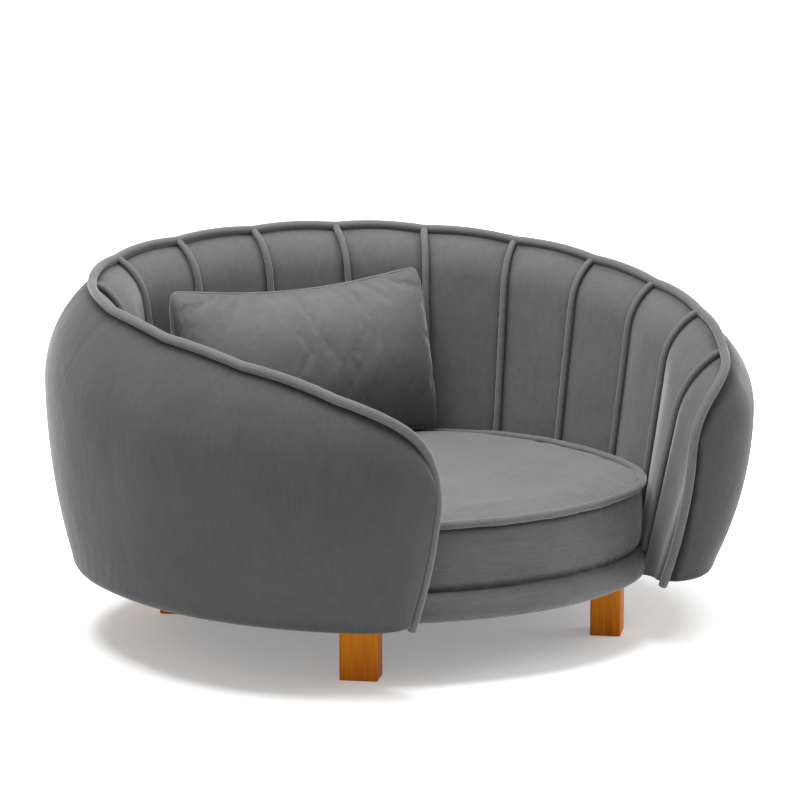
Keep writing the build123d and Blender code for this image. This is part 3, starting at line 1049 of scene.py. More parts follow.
@dataclass
class Channels:
    """Stuffed channels between the joints, each its own piece, with the piping that lies in the joints."""

    shape: WallShape
    cloth: bpy.types.Material
    piping: bpy.types.Material
    rows: int = 56
    columns: int = 72
    fold: float = 14.0
    fold_share: float = 0.45
    forward: float = 2.5
    front_crown: float = 3.5
    groove: float = 1.5
    cord: float = 3.9
    cord_off: float = 4.2
    cord_low: float = 97.0
    cord_gap: float = 2.5

    def puff(self, u: np.ndarray) -> np.ndarray:
        """Depth of stuffing in millimetres: the joint's valley is narrow, the middle broad."""
        return self.shape.crown * self.shape.flute(u) ** 0.8

    def build(self) -> list[bpy.types.Object]:
        """Make every channel and the welts in their joints.

        Returns:
            The pieces, both sides.
        """
        made = []
        for side in Side:
            name = side.name.lower()
            for number in range(1, self.shape.channels + 1):
                made.append(self.channel(side, number, f"channel_{name}_{number}"))
            for number in range(1, self.shape.channels):
                u = side.value * number / self.shape.channels
                made.append(self.welt(u, f"channel_welt_{name}_{number}"))
        made.append(self.welt(0.0, "channel_welt_back"))
        return made

    def channel(self, side: Side, number: int, node: str) -> bpy.types.Object:
        """Make one channel.

        Args:
            side: Which half of the tub.
            number: 1 next to the back's middle, 8 at the nose.
            node: The CAD node it stands for.

        Returns:
            A closed piece. The seen sheet is the arc from the rim to the shoulder and the slope to the foot;
            tension folds that fan from the top of each joint are added along its normals.
        """
        n = self.shape.channels
        last = number == n
        across = np.linspace(0, 1, self.columns)
        if last:
            across = np.sort(np.concatenate([across, 1 - np.array([0.001, 0.004, 0.009, 0.02, 0.034])]))
        u = side.value * (number - 1 + across) / n
        shoulder, foot = self.shape.inner(u, self.puff(u), last)
        rim = np.stack([self.shape.rim_out(u) - 0.3, self.shape.rim_z(u)], -1)
        curve = arc(shoulder, rim, shoulder - foot, np.linspace(0, 1, 60))[:, ::-1]
        slope = line(shoulder, foot, np.linspace(0, 1, 30))[:, 1:]
        seen = evened(np.concatenate([curve, slope], 1), self.rows)
        top, knee, core_foot = self.shape.core(u, -1)
        heel_share = ((foot[:, 1] - core_foot[:, 1]) / (knee[:, 1] - core_foot[:, 1]))[:, None]
        heel = core_foot + (knee - core_foot) * heel_share
        cut = np.stack([rim[:, 0], top[:, 1]], -1)
        hidden = evened(np.stack([rim, cut, top, knee, heel], 1), self.rows)
        front = self.shape.place(u[:, None], seen[..., 0], seen[..., 1])
        back = self.shape.place(u[:, None], hidden[..., 0], hidden[..., 1])
        across = across[:, None]
        drop = np.linspace(0, 1, self.rows)[None]
        inside = np.sin(np.pi * across) ** 0.5 * np.clip(drop / 0.05, 0, 1) * np.clip((1 - drop) / 0.05, 0, 1)
        seed = number * 2 + (side.value > 0)
        relief = 0.9 * ripple(front, 0.16, seed)
        relief = relief + 0.35 * ripple(front * np.array([1, 1, 0.4]), 0.045, seed + 50)
        fan = np.sin(across * np.pi * 7 + 3 * drop + seed) * np.exp(-drop / 0.10) * 0.12
        front = front + inward(front) * ((relief + fan) * inside * MM)[..., None]
        if last:
            front, back = self.wrapped(side, front, back)
        along, down = run_length(front, 0), run_length(front, 1)
        piece = slab(f"{node}_cloth", front, back, 60.0)
        # Painted shade: dark beside each joint's piping, over a wider band by the rim welt at the nose of the
        # last channel, and just below the rim welt; the hidden sheet is painted fully dark.
        ahead = along[-1:] - along
        joint = np.minimum(along - along[:1], np.maximum(0, ahead - 0.008) if last else ahead)
        dark = np.maximum(0.9 * np.exp(-(joint / 0.0075) ** 2), 0.8 * np.exp(-(down / 0.009) ** 2))
        shade(piece.data, np.concatenate([dark.ravel(), np.ones(dark.size)]))
        return dress(piece, [self.cloth], "tub", node)

    def wrapped(self, side: Side, front: np.ndarray, back: np.ndarray) -> tuple[np.ndarray, np.ndarray]:
        """Carry the last channel round the front of the arm.

        Args:
            side: Which arm.
            front: The seen sheet, shape (columns, rows, 3).
            back: The hidden sheet, as many.

        Returns:
            Both sheets with 12 columns more. The fold's last stretch turns outward by a quarter round, and
            the added columns go on across the arm's front, crowned by a squared sine, to end under the rim
            welt.
        """
        u = np.full(self.rows, float(side.value))
        edge = evened(self.shape.face(u[:1], 6), self.rows)[0] - np.array([4.0, 0.0])
        goal = self.shape.place(u, edge[:, 0], edge[:, 1])
        ahead = self.shape.place(u, edge[:, 0], edge[:, 1], side.value) - goal
        end = np.linalg.norm(front - front[-1:], axis=-1).mean(1)
        turn = np.clip(1 - end / (self.fold * MM), 0, 1)[:, None, None]
        front = (front + self.fold_share * (goal - front[-1]) * (1 - np.sqrt(1 - turn**2))
                 + self.forward * ahead * turn**2)
        share = np.linspace(0, 1, 13)[1:, None, None]
        rise = np.minimum(share / 0.8, 1)
        sink = (self.forward + self.groove) * rise
        over = front[-1] + (goal - front[-1]) * share + ahead * (
            self.front_crown * np.sin(np.pi * rise) ** 2 - sink)
        under = back[-1] + (over[-1] - back[-1]) * share * 0.8
        return np.concatenate([front, over]), np.concatenate([back, under])

    def welt(self, u: float, node: str) -> bpy.types.Object:
        """Make the piping of one joint.

        Args:
            u: The joint's place along the rim.
            node: The CAD node it stands for.

        Returns:
            A closed tube along the crease: the slope from the deck to the shoulder and the arc to under the
            rim welt, moved off the cloth by a little more than its radius.
        """
        at = np.array([u])
        shoulder, foot = self.shape.inner(at, np.zeros(1))
        rim = np.stack([self.shape.rim_out(at), self.shape.rim_z(at)], -1)
        share = (self.cord_low - foot[:, 1]) / (shoulder[:, 1] - foot[:, 1])
        low = foot + (shoulder - foot) * share[:, None]
        curve = arc(shoulder, rim, shoulder - foot, np.linspace(0, 1, 60))
        path = np.concatenate([line(low, shoulder, np.linspace(0, 1, 30))[:, :-1], curve], 1)
        length = np.linalg.norm(np.diff(path[0], axis=0), axis=1).sum()
        path = evened(path, 120)[0]
        path = path[: int(120 * (1 - self.cord_gap / length))]
        way = np.gradient(path, axis=0)
        way /= np.linalg.norm(way, axis=1, keepdims=True)
        path = path + self.cord_off * np.stack([-way[:, 1], way[:, 0]], -1)
        points = self.shape.place(np.full(len(path), u), path[:, 0], path[:, 1])
        a = math.radians(float(self.shape.plan(at)[2][0]))
        guide = np.array([math.sin(a), -math.cos(a), 0.0])
        piece = tube(f"{node}_piping", points, guide, self.cord * MM, 14, 0.05, int(abs(u) * 100))
        return dress(piece, [self.piping], "tub", node)


@dataclass
class RimWelt:
    """The fat piping over the rim and down the front edge of both arms, with its loose tails."""

    shape: WallShape
    finish: bpy.types.Material
    radius: float = 5.0
    sink: float = 0.9
    tail: float = 4.5

    def over(self, u: np.ndarray) -> np.ndarray:
        """Centre line along the rim.

        Args:
            u: Places along the rim.

        Returns:
            Points in metres, off the rim square to its slope and sunk into the cloth.
        """
        off = self.radius - self.sink
        slope = self.shape.slope(u)
        return self.shape.place(u, self.shape.rim_out(u), self.shape.rim_z(u) + off * np.cos(slope),
                                np.sign(u) * off * np.sin(slope))

    def nose(self, side: Side) -> np.ndarray:
        """Centre line down the front edge of one arm.

        Args:
            side: Which arm.

        Returns:
            Points in metres, from below the corner to the end of the tail.
        """
        u = np.array([float(side.value)])
        _, bulge, ankle, toe, lean, _ = self.shape.outer(u)
        down = arc(bulge, ankle, lean, np.linspace(0.04, 1, 44))[0]
        way = (down[-1] - down[-2]) / np.linalg.norm(down[-1] - down[-2])
        tail = down[-1] + way[None] * np.linspace(0.2, 1, 6)[:, None] * (self.tail + ankle[0, 1] - toe[0, 1])
        path = np.concatenate([down, tail]) - np.array([self.radius, 0.0])
        return self.shape.place(np.full(len(path), u[0]), path[:, 0], path[:, 1],
                                side.value * (self.radius - self.sink))

    def build(self) -> list[bpy.types.Object]:
        """Make the rim welt.

        Returns:
            One piece along a smooth curve through knots over the rim and down the noses. Round each arm's
            corner the knots are eased first, five times by up to a quarter of their second difference.
        """
        half = np.concatenate([np.arange(1, 60) / 64, np.linspace(0.93, 1, 15)])
        u = np.concatenate([-half[::-1], [0.0], half])
        left, right = self.nose(Side.LEFT)[::-1], self.nose(Side.RIGHT)
        knots = np.concatenate([left, self.over(u), right])
        place = np.arange(len(knots))
        corner = np.minimum(np.abs(place - len(left) + 0.5), np.abs(place - len(knots) + len(right) + 0.5))
        ease = 0.25 * np.clip(1.5 - corner / 6, 0, 1)[1:-1, None]
        for _ in range(5):
            knots[1:-1] += ease * (knots[:-2] - 2 * knots[1:-1] + knots[2:])
        at = np.concatenate([np.full(len(left), -1.0), u, np.ones(len(right))])
        angle = np.radians(self.shape.plan(at)[2])
        outward = np.stack([np.cos(angle), np.sin(angle), 0 * angle], -1)
        path, guide = np.split(smooth_curve(np.concatenate([knots, outward * MM], 1), 1500), 2, 1)
        piece = tube("rim_welt_piping", path, guide / MM, self.radius * MM, 18, 0.03, 5, 0.2)
        return [dress(piece, [self.finish], "tub", "rim_welt")]


def smooth_curve(knots: np.ndarray, count: int) -> np.ndarray:
    """A curve through all knots, a Catmull-Rom spline on chord length.

    Between two knots it is the cubic whose end slopes are those of the parabola through each knot and its
    neighbours; then it is sampled at even lengths.

    Args:
        knots: Shape (n, d), the first three of which are a place.
        count: Points wanted.

    Returns:
        Shape (count, d).
    """
    t = np.concatenate([[0], np.cumsum(np.linalg.norm(np.diff(knots, axis=0), axis=1))])
    slope = np.gradient(knots, t, axis=0)
    want = np.linspace(0, t[-1], count * 3)
    i = np.clip(np.searchsorted(t, want, side="right") - 1, 0, len(t) - 2)
    h = (t[i + 1] - t[i])[:, None]
    s = ((want - t[i]) / (t[i + 1] - t[i]))[:, None]
    path = ((2 * s**3 - 3 * s**2 + 1) * knots[i] + (s**3 - 2 * s**2 + s) * h * slope[i]
            + (-2 * s**3 + 3 * s**2) * knots[i + 1] + (s**3 - s**2) * h * slope[i + 1])
    return evened(path[None], count)[0]


# The seat


@dataclass(frozen=True)
class SeatShape:
    """The D-shaped outline of the seat in millimetres, as tangent arcs from the middle of the back."""

    back_y: float = 193.8
    arcs: tuple[tuple[float, float], ...] = ()

    @classmethod
    def fitted(cls, wall: WallShape, inset: float = 71.5, back_inset: float = 77.5, depth: float = 475,
               side_turn: float = 22.3, front_sweep: float = 28) -> "SeatShape":
        """Outline that runs inside the wall and closes with a rounder front.

        Args:
            wall: The tub's wall.
            inset: How far inside the rim line it runs, in millimetres.
            back_inset: The same in the middle of the back.
            depth: From back to front.
            side_turn: How far it follows the wall's third arc, in degrees.
            front_sweep: Sweep of half the front's arc, in degrees.

        Returns:
            The outline. Its last two radii solve that the arcs end on the middle line at the front: two
            linear equations in the radii, for the span and the drop that are left.
        """
        fixed = [(wall.arcs[0][0] - inset, wall.arcs[0][1]), (wall.arcs[1][0] - inset, wall.arcs[1][1]),
                 (wall.arcs[2][0] - inset, side_turn)]
        y0 = wall.rim_back - back_inset
        x, y, angle = 0.0, y0, 90.0
        for radius, sweep in fixed:
            x -= radius * (math.cos(math.radians(angle)) - math.cos(math.radians(angle - sweep)))
            y -= radius * (math.sin(math.radians(angle)) - math.sin(math.radians(angle - sweep)))
            angle -= sweep
        last = front_sweep - 90
        a, b = math.cos(math.radians(last)) - math.cos(math.radians(angle)), -math.cos(math.radians(last))
        c, d = math.sin(math.radians(last)) - math.sin(math.radians(angle)), -1 - math.sin(math.radians(last))
        span, drop = -x, y0 - depth - y
        corner = (span * d - b * drop) / (a * d - b * c)
        front = (a * drop - span * c) / (a * d - b * c)
        return cls(y0, tuple(fixed) + ((corner, angle - last), (front, front_sweep)))

    def ring(self, count: int, inset: float = 0.0) -> tuple[np.ndarray, np.ndarray, np.ndarray]:
        """Points of the outline moved inward.

        Args:
            count: Points all round.
            inset: Distance inward in millimetres.

        Returns:
            x and y in millimetres, and the outward angle in degrees.
        """
        length = sum(r * math.radians(s) for r, s in self.arcs)
        s = np.linspace(-1, 1, count, endpoint=False)
        x, y, angle = walk_arcs(self.arcs, self.back_y, np.abs(s) * length)
        x, y = x - inset * np.cos(np.radians(angle)), y - inset * np.sin(np.radians(angle))
        return np.where(s < 0, -x, x), y, np.where(s < 0, 180 - angle, angle)

    def depth_inside(self, points: np.ndarray) -> np.ndarray:
        """How far points lie inside the outline, in millimetres.

        The outline is taken in polar form about its middle: the gap that is left along the ray, times the
        cosine between the ray and the outline's normal.

        Args:
            points: Shape (n, 3), in metres.

        Returns:
            Shape (n,), negative outside.
        """
        x, y, angle = self.ring(1440)
        middle = float(y.max() + y.min()) / 2
        way = np.arctan2(y - middle, x)
        order = np.argsort(way)
        at = np.arctan2(points[:, 1] / MM - middle, points[:, 0] / MM)
        far, tilt = (np.interp(at, way[order], value[order], period=2 * np.pi)
                     for value in (np.hypot(x, y - middle), np.cos(np.radians(angle) - way)))
        return (far - np.hypot(points[:, 0] / MM, points[:, 1] / MM - middle)) * tilt


@dataclass
class SeatCushion:
    """The loose seat: boxing drawn in under a piped edge, and a crowned top."""

    shape: SeatShape
    top_cloth: bpy.types.Material
    boxing_cloth: bpy.types.Material
    piping: bpy.types.Material
    stuffing: Stuffing = Stuffing(voxel=0.0055, cap=0.0065, slack=0.006)
    base: float = 97.3
    thickness: float = 71.0
    crown: float = 6.5
    cord: float = 4.5
    cord_inset: float = 1.6
    box_inset: float = 8.5
    top_inset: float = 9.2
    count: int = 420
    cord_count: int = 640

    def build(self) -> list[bpy.types.Object]:
        """Make the cushion and its welt.

        Returns:
            Both pieces. The cushion starts as rings of the outline, low in crown and drawn in; the cloth
            fills it between its seams; then waves, puckers beside the welt and the boxing's tucks are added
            along its normals.
        """
        edge = self.base + self.thickness
        piece = self.skin(edge)
        self.stuffing.fill(piece, lambda points: self.seam(points, edge))
        self.detail(piece, edge)
        dress(piece, [self.top_cloth, self.boxing_cloth], "cushion", "seat_cushion")
        return [piece, self.welt(edge)]

    def skin(self, edge: float) -> bpy.types.Object:
        """The closed starting form: a flat underside, drawn-in boxing and a low crown.

        Args:
            edge: Height of the piped edge in millimetres.

        Returns:
            The piece: the outline's rings at shares, insets and heights, the boxing drawn in by a sine.
        """
        levels = np.linspace(0, 1, 20)
        shares = np.linspace(0.97, 0.04, 28)
        rings = [(share, self.box_inset, self.base + 0.5) for share in np.linspace(0.1, 0.98, 9)]
        rings += [(1.0, self.box_inset - 1.5 * math.sin(math.pi * level) + 0.7 * level,
                   self.base + 0.5 + (self.thickness - 1.5) * level) for level in levels]
        rings += [(share, self.top_inset, edge + self.crown * (1 - share ** 2.6) ** 0.62) for share in shares]
        x0, y0, _ = self.shape.ring(self.count, 0)
        middle = (float(x0.mean()), float(y0.mean()))
        sheets = []
        for share, inset, z in rings:
            x, y, _ = self.shape.ring(self.count, inset)
            sheets.append(np.stack([middle[0] + (x - middle[0]) * share, middle[1] + (y - middle[1]) * share,
                                    np.full(self.count, z)], -1) * MM)
        points = np.stack(sheets)
        return stacked("seat_cushion_cloth", points, points[[0, -1]].mean(1), 60.0)

    def seam(self, points: np.ndarray, edge: float) -> np.ndarray:
        """How firmly the cloth is held.

        Args:
            points: Shape (n, 3), in metres.
            edge: Height of the piped edge in millimetres.

        Returns:
            1 on the boxing's upper and lower seams, falling off over 7 mm, and on the resting underside.
        """
        z = points[:, 2] / MM
        inside = self.shape.depth_inside(points)
        far_top = np.hypot(z - edge, np.maximum(0, inside - 10))
        far_low = np.hypot(z - self.base, np.maximum(0, inside - 12))
        under = (z < self.base + 4).astype(float)
        return np.maximum(np.clip(1.4 - np.minimum(far_top, far_low) / 5, 0, 1), under)

    def detail(self, piece: bpy.types.Object, edge: float) -> None:
        """Add waves and tucks along the normals, painted shade at the welt and underside, and mark the boxing's
        faces.

        Args:
            piece: The filled cushion.
            edge: Height of the piped edge in millimetres.
        """
        points, out = vertices(piece.data), facing_out(piece.data)
        z, inside = points[:, 2] / MM, self.shape.depth_inside(points)
        top = np.clip((inside - 12) / 25, 0, 1) * (out[:, 2] > 0.3)
        level = np.clip((z - self.base) / self.thickness, 0, 1)
        side = np.clip(1 - np.abs(out[:, 2]) / 0.6, 0, 1) * np.sin(np.pi * level)
        lift = (1.3 * ripple(points, 0.21, 21) + 0.25 * ripple(points, 0.07, 22)) * top
        lift += (0.5 * ripple(points * np.array([1, 1, 2.5]), 0.12, 31) + 0.22 * ripple(
            points * np.array([1, 1, 5.0]), 0.06, 33)) * side
        near = np.exp(-((z - edge) / 6) ** 2) * np.exp(-(np.maximum(0, inside - 9) / 9) ** 2)
        lift += 0.35 * ripple(points * np.array([1, 1, 0.2]), 0.016, 35) * near
        lift += 1.6 * np.exp(-((z - edge) ** 2 + (inside - 9) ** 2) / 20)
        put_vertices(piece.data, points + out * (lift * MM * (z > self.base + 6))[:, None])
        # Painted shade: dark on the boxing just below the welt, fainter on the top beside it, and on the
        # underside up to 9 mm above the base.
        valley_shade = np.exp(-((z - edge + 5) / 4) ** 2) * (inside < 13) * 0.9
        valley_shade = np.maximum(valley_shade, np.exp(-((inside - 9.0) / 3.5) ** 2) * (z > edge - 2) * 0.35)
        shade(piece.data, np.maximum(valley_shade, np.clip((self.base + 9 - z) / 9, 0, 1)))
        centres = np.empty(len(piece.data.polygons) * 3)
        piece.data.polygons.foreach_get("center", centres)
        height = centres.reshape(-1, 3)[:, 2] / MM
        piece.data.polygons.foreach_set("material_index", (height < edge - 1).astype(np.int32))
        piece.data.update()

    def welt(self, edge: float) -> bpy.types.Object:
        """Make the piping round the top edge.

        Args:
            edge: Height of the piped edge in millimetres.

        Returns:
            A closed ring whose radius wanders by 6 per cent.
        """
        x, y, angle = self.shape.ring(self.cord_count, self.cord + self.cord_inset)
        turn = np.arange(self.cord_count) / self.cord_count * 2 * np.pi
        path = np.stack([x, y, edge + 0.25 * np.sin(turn * 23)], -1) * MM
        out = np.stack([np.cos(np.radians(angle)), np.sin(np.radians(angle)), 0 * angle], -1)
        radius = self.cord * MM * (1 - 0.03 * (1 + np.sin(turn * 41 + 2 * np.sin(turn * 7))))
        piece = hoop("seat_welt_piping", path, out, np.array([0.0, 0.0, 1.0]), radius, 14)
        return dress(piece, [self.piping], "cushion", "seat_welt")


@dataclass
class Deck:
    """The padded deck under the seat and the bull-nose rail along its front."""

    shape: SeatShape
    finish: bpy.types.Material
    top: float = 97.0
    rail_height: float = 32.0
    rail_depth: float = 24.0
    rail_proud: float = 3.0
    rail_turn: float = 125.0
    pad_low: float = 88.2
    pad_high: float = 96.8
    pad_reach: float = 8.0
    count: int = 1400
    pad_count: int = 600

    def build(self) -> list[bpy.types.Object]:
        """Make both pieces.

        Returns:
            The rail and the deck's cloth.
        """
        return [self.rail(), self.deck()]

    def rail(self) -> bpy.types.Object:
        """Make the rail along the front of the seat.

        Returns:
            One piece: a half-round nose on a flat root, carried along the seat's outline, with low waves.
        """
        x, y, angle = self.shape.ring(self.count, self.rail_depth - self.rail_proud)
        middle = self.count // 2
        keep = np.roll(self.turned(angle) > self.rail_turn - 4, middle)
        x, y, angle = (np.roll(part, middle)[keep] for part in (x, y, angle))
        half = self.rail_height / 2
        flat = self.rail_depth - half
        a = np.linspace(np.pi / 2, -np.pi / 2, 26)
        root = np.linspace(0, flat, 5)
        out = np.concatenate([root[:-1], flat + half * np.cos(a), root[::-1][1:]])
        up = np.concatenate([np.full(4, half), half * np.sin(a), np.full(4, -half)])
        back_up = np.linspace(half, -half, len(up))
        c, s = np.cos(np.radians(angle))[:, None], np.sin(np.radians(angle))[:, None]
        z = self.top - half
        x, y = x[:, None], y[:, None]
        front, back = (np.stack(np.broadcast_arrays(x + far * c, y + far * s, z + high), -1) * MM
                       for far, high in ((out, up[None]), (0 * out, back_up[None])))
        swell = np.sin(np.pi * np.linspace(0, 1, front.shape[1]))[None]
        lift = (0.35 * ripple(front, 0.09, 41) + 0.12 * ripple(front, 0.02, 42)) * MM * swell
        front[..., 0] += c * lift
        front[..., 1] += s * lift
        piece = slab("front_rail_cloth", front, back, 60.0)
        return dress(piece, [self.finish], "tub", "front_rail")

    def deck(self) -> bpy.types.Object:
        """Make the deck pad.

        Returns:
            One piece: a low slab, inside the seat's outline behind the rail, and elsewhere reaching under
            the channels' feet.
        """
        turned = self.turned(self.shape.ring(self.pad_count)[2])
        behind = np.clip((turned - self.rail_turn + 7) / 4, 0, 1)
        far = self.rail_depth - self.rail_proud + self.pad_reach
        x, y, _ = self.shape.ring(self.pad_count, far * behind - self.pad_reach)
        low, high = self.pad_low, self.pad_high
        rings = ((0.05, low), (0.99, low), (0.999, low + 1.8),
                 (0.999, high - 1.8), (0.99, high), (0.05, high))
        points = np.stack([np.stack([x * s, y.mean() + (y - y.mean()) * s, np.full(len(x), z)], -1) * MM
                           for s, z in rings])
        piece = stacked("deck_pad_cloth", points, points[[0, -1]].mean(1), 60.0)
        return dress(piece, [self.finish], "tub", "deck_pad")

    @staticmethod
    def turned(angle: np.ndarray) -> np.ndarray:
        """How far the outline has turned from the middle of the back, in degrees, the same on both sides."""
        return 90 - np.where(angle > 90, 180 - angle, angle)


@dataclass
class Pillow:
    """The loose lumbar pillow: a piped knife edge with full middle, drawn-in sides and soft corners."""

    cloth: bpy.types.Material
    piping: bpy.types.Material
    stuffing: Stuffing = Stuffing(voxel=0.0042, pressure=5.0, cap=0.012, slack=0.012)
    length: float = 350.0
    height: float = 200.0
    thickness: float = 92.0
    edge: float = 5.0
    draw: float = 0.17
    tilt: float = 12.0
    y: float = 142.0
    floor: float = 169.8
    rows: int = 150
    columns: int = 90
    skin_inset: float = 2.5
    skin_edge: float = 2.3
    cord: float = 2.0
    cord_inset: float = 3.2

    def build(self) -> list[bpy.types.Object]:
        """Make the pillow and its edge piping.

        Returns:
            Both pieces. Over the square (i, j) from -1 to 1 the starting half thickness is a share of the
            dome, the product of (1 - i^4)^0.5 and a power of 1 - j^2; the cloth fills it from its held edge.
        """
        i = np.sin(np.linspace(-1, 1, self.rows) * np.pi / 2)[:, None]
        j = np.sin(np.linspace(-1, 1, self.columns) * np.pi / 2)[None]
        thick = self.edge / 2 + (0.80 * self.thickness - self.edge) / 2 * (1 - i ** 4) ** 0.5
        dome = thick * (1 - j ** 2) ** 0.8 + self.skin_edge
        x, z = self.spread(i, j, self.skin_inset)
        sheets = [self.lean(np.stack(np.broadcast_arrays(x, side * dome, z), -1)) for side in (-1, 1)]
        piece = slab("pillow_cloth", sheets[0], sheets[1], 80.0)
        self.stuffing.fill(piece, self.seam)
        self.detail(piece)
        return [dress(piece, [self.cloth], "pillow", "pillow"), self.welt()]

    def spread(self, i: np.ndarray, j: np.ndarray, inset: float) -> tuple[np.ndarray, np.ndarray]:
        """Places across the flat pillow: tall at the corners, which are softened, drawn in between.

        Args:
            i: Places along the length, -1 to 1.
            j: Places along the height, -1 to 1.
            inset: Distance in from the outline, in millimetres.

        Returns:
            x and z in millimetres.
        """
        high = (self.height / 2 - inset) * (1 - self.draw * (1 - i ** 2))
        wide = (self.length / 2 - inset) * (1 - 0.035 * (1 - j ** 2))
        soften = 1 - 0.045 * (i ** 2 * j ** 2) ** 3
        return wide * i * soften, high * j * soften

    def lean(self, points: np.ndarray) -> np.ndarray:
        """Stand the flat pillow up, lean it back and move it to its place.

        Args:
            points: Shape (..., 3), in millimetres.

        Returns:
            Shape (..., 3), in metres.
        """
        c, s = math.cos(math.radians(-self.tilt)), math.sin(math.radians(-self.tilt))
        up = points[..., 2] + self.height / 2
        y, z = points[..., 1] * c - up * s, points[..., 1] * s + up * c
        return np.stack([points[..., 0], self.y + y, self.floor + z], -1) * MM

    def flatten(self, points: np.ndarray) -> np.ndarray:
        """The way back from its place to the flat pillow.

        Args:
            points: Shape (n, 3), in metres.

        Returns:
            Shape (n, 3), in millimetres.
        """
        c, s = math.cos(math.radians(-self.tilt)), math.sin(math.radians(-self.tilt))
        y, z = points[:, 1] / MM - self.y, points[:, 2] / MM - self.floor
        return np.stack([points[:, 0] / MM, y * c + z * s, -y * s + z * c - self.height / 2], -1)

    def seam(self, points: np.ndarray) -> np.ndarray:
        """How firmly the cloth is held.

        Args:
            points: Shape (n, 3), in metres.

        Returns:
            1 on the knife edge, falling off over 7 mm.
        """
        flat = self.flatten(points)
        return np.clip(1.5 - self.from_edge(flat) / 5, 0, 1)

    def from_edge(self, flat: np.ndarray) -> np.ndarray:
        """Distance in from the outline of the flat pillow.

        Args:
            flat: Shape (n, 3), in millimetres.

        Returns:
            Shape (n,), in millimetres.
        """
        i, j = np.clip(flat[:, 0] / self.length * 2, -1, 1), np.clip(flat[:, 2] / self.height * 2, -1, 1)
        high = self.height / 2 * (1 - self.draw * (1 - i ** 2))
        wide = self.length / 2 * (1 - 0.035 * (1 - j ** 2))
        return np.maximum(0, np.minimum(high - np.abs(flat[:, 2]), wide - np.abs(flat[:, 0])))

    def detail(self, piece: bpy.types.Object) -> None:
        """Add low waves over the faces, short puckers along the edge and painted shade along the edge.

        Args:
            piece: The filled pillow.
        """
        points, out = vertices(piece.data), facing_out(piece.data)
        flat = self.flatten(points)
        inset = self.from_edge(flat)
        face = np.clip(inset / 30, 0, 1)
        puckers = ripple(points * np.array([1, 0.2, 1]), 0.022, 66) * np.exp(-inset / 11)
        lift = (1.2 * ripple(points, 0.16, 61) + 0.2 * ripple(points, 0.06, 65)) * face + 0.5 * puckers
        put_vertices(piece.data, points + out * (lift * MM)[:, None])
        # Painted shade: darker within about 5 mm of the knife edge, beside the piping.
        shade(piece.data, np.exp(-(inset / 5) ** 2) * 0.7)

    def welt(self) -> bpy.types.Object:
        """Make the thin piping round the outline.

        Returns:
            A closed ring: the flat square's rim, leaned to its place and smoothed over seven points.
        """
        step = np.linspace(-1, 1, 120, endpoint=False)
        turn = np.sin(step * np.pi / 2)
        i = np.concatenate([turn, np.ones(120), -turn, -np.ones(120)])
        j = np.concatenate([-np.ones(120), turn, np.ones(120), -turn])
        x, z = self.spread(i, j, self.cord_inset)
        path = self.lean(np.stack([x, np.zeros(len(x)), z], -1))
        path = evened(np.concatenate([path, path[:1]])[None], 481)[0][:-1]
        soft = sum(np.roll(path, shift, 0) for shift in range(-3, 4)) / 7
        tangent = np.roll(soft, -1, 0) - np.roll(soft, 1, 0)
        tangent /= np.linalg.norm(tangent, axis=1, keepdims=True)
        across = np.array([0.0, math.cos(math.radians(self.tilt)), -math.sin(math.radians(self.tilt))])
        piece = hoop("pillow_piping", soft, across, np.cross(tangent, across), self.cord * MM, 10)
        return dress(piece, [self.piping], "pillow", "pillow")


@dataclass
class RigidParts:
    """The rigid nodes of the frame, which keep their own meshes and get their finishes here."""

    wood: bpy.types.Material
    plywood: bpy.types.Material
    dust: bpy.types.Material
    steel: bpy.types.Material

    def build(self) -> list[bpy.types.Object]:
        """Give each rigid node its finish.

        Returns:
            The nodes.
        """
        finishes = {"base_board": self.plywood, "shell_wall": self.plywood, "dust_cover": self.dust,
                    "leg_bolts": self.steel, "leg_nuts": self.steel}
        made = []
        for name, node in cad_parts.items():
            finish = finishes.get(name, self.wood if name.startswith("leg_") else None)
            if finish is not None:
                node.data.materials.clear()
                node.data.materials.append(finish)
                made.append(node)
        return made


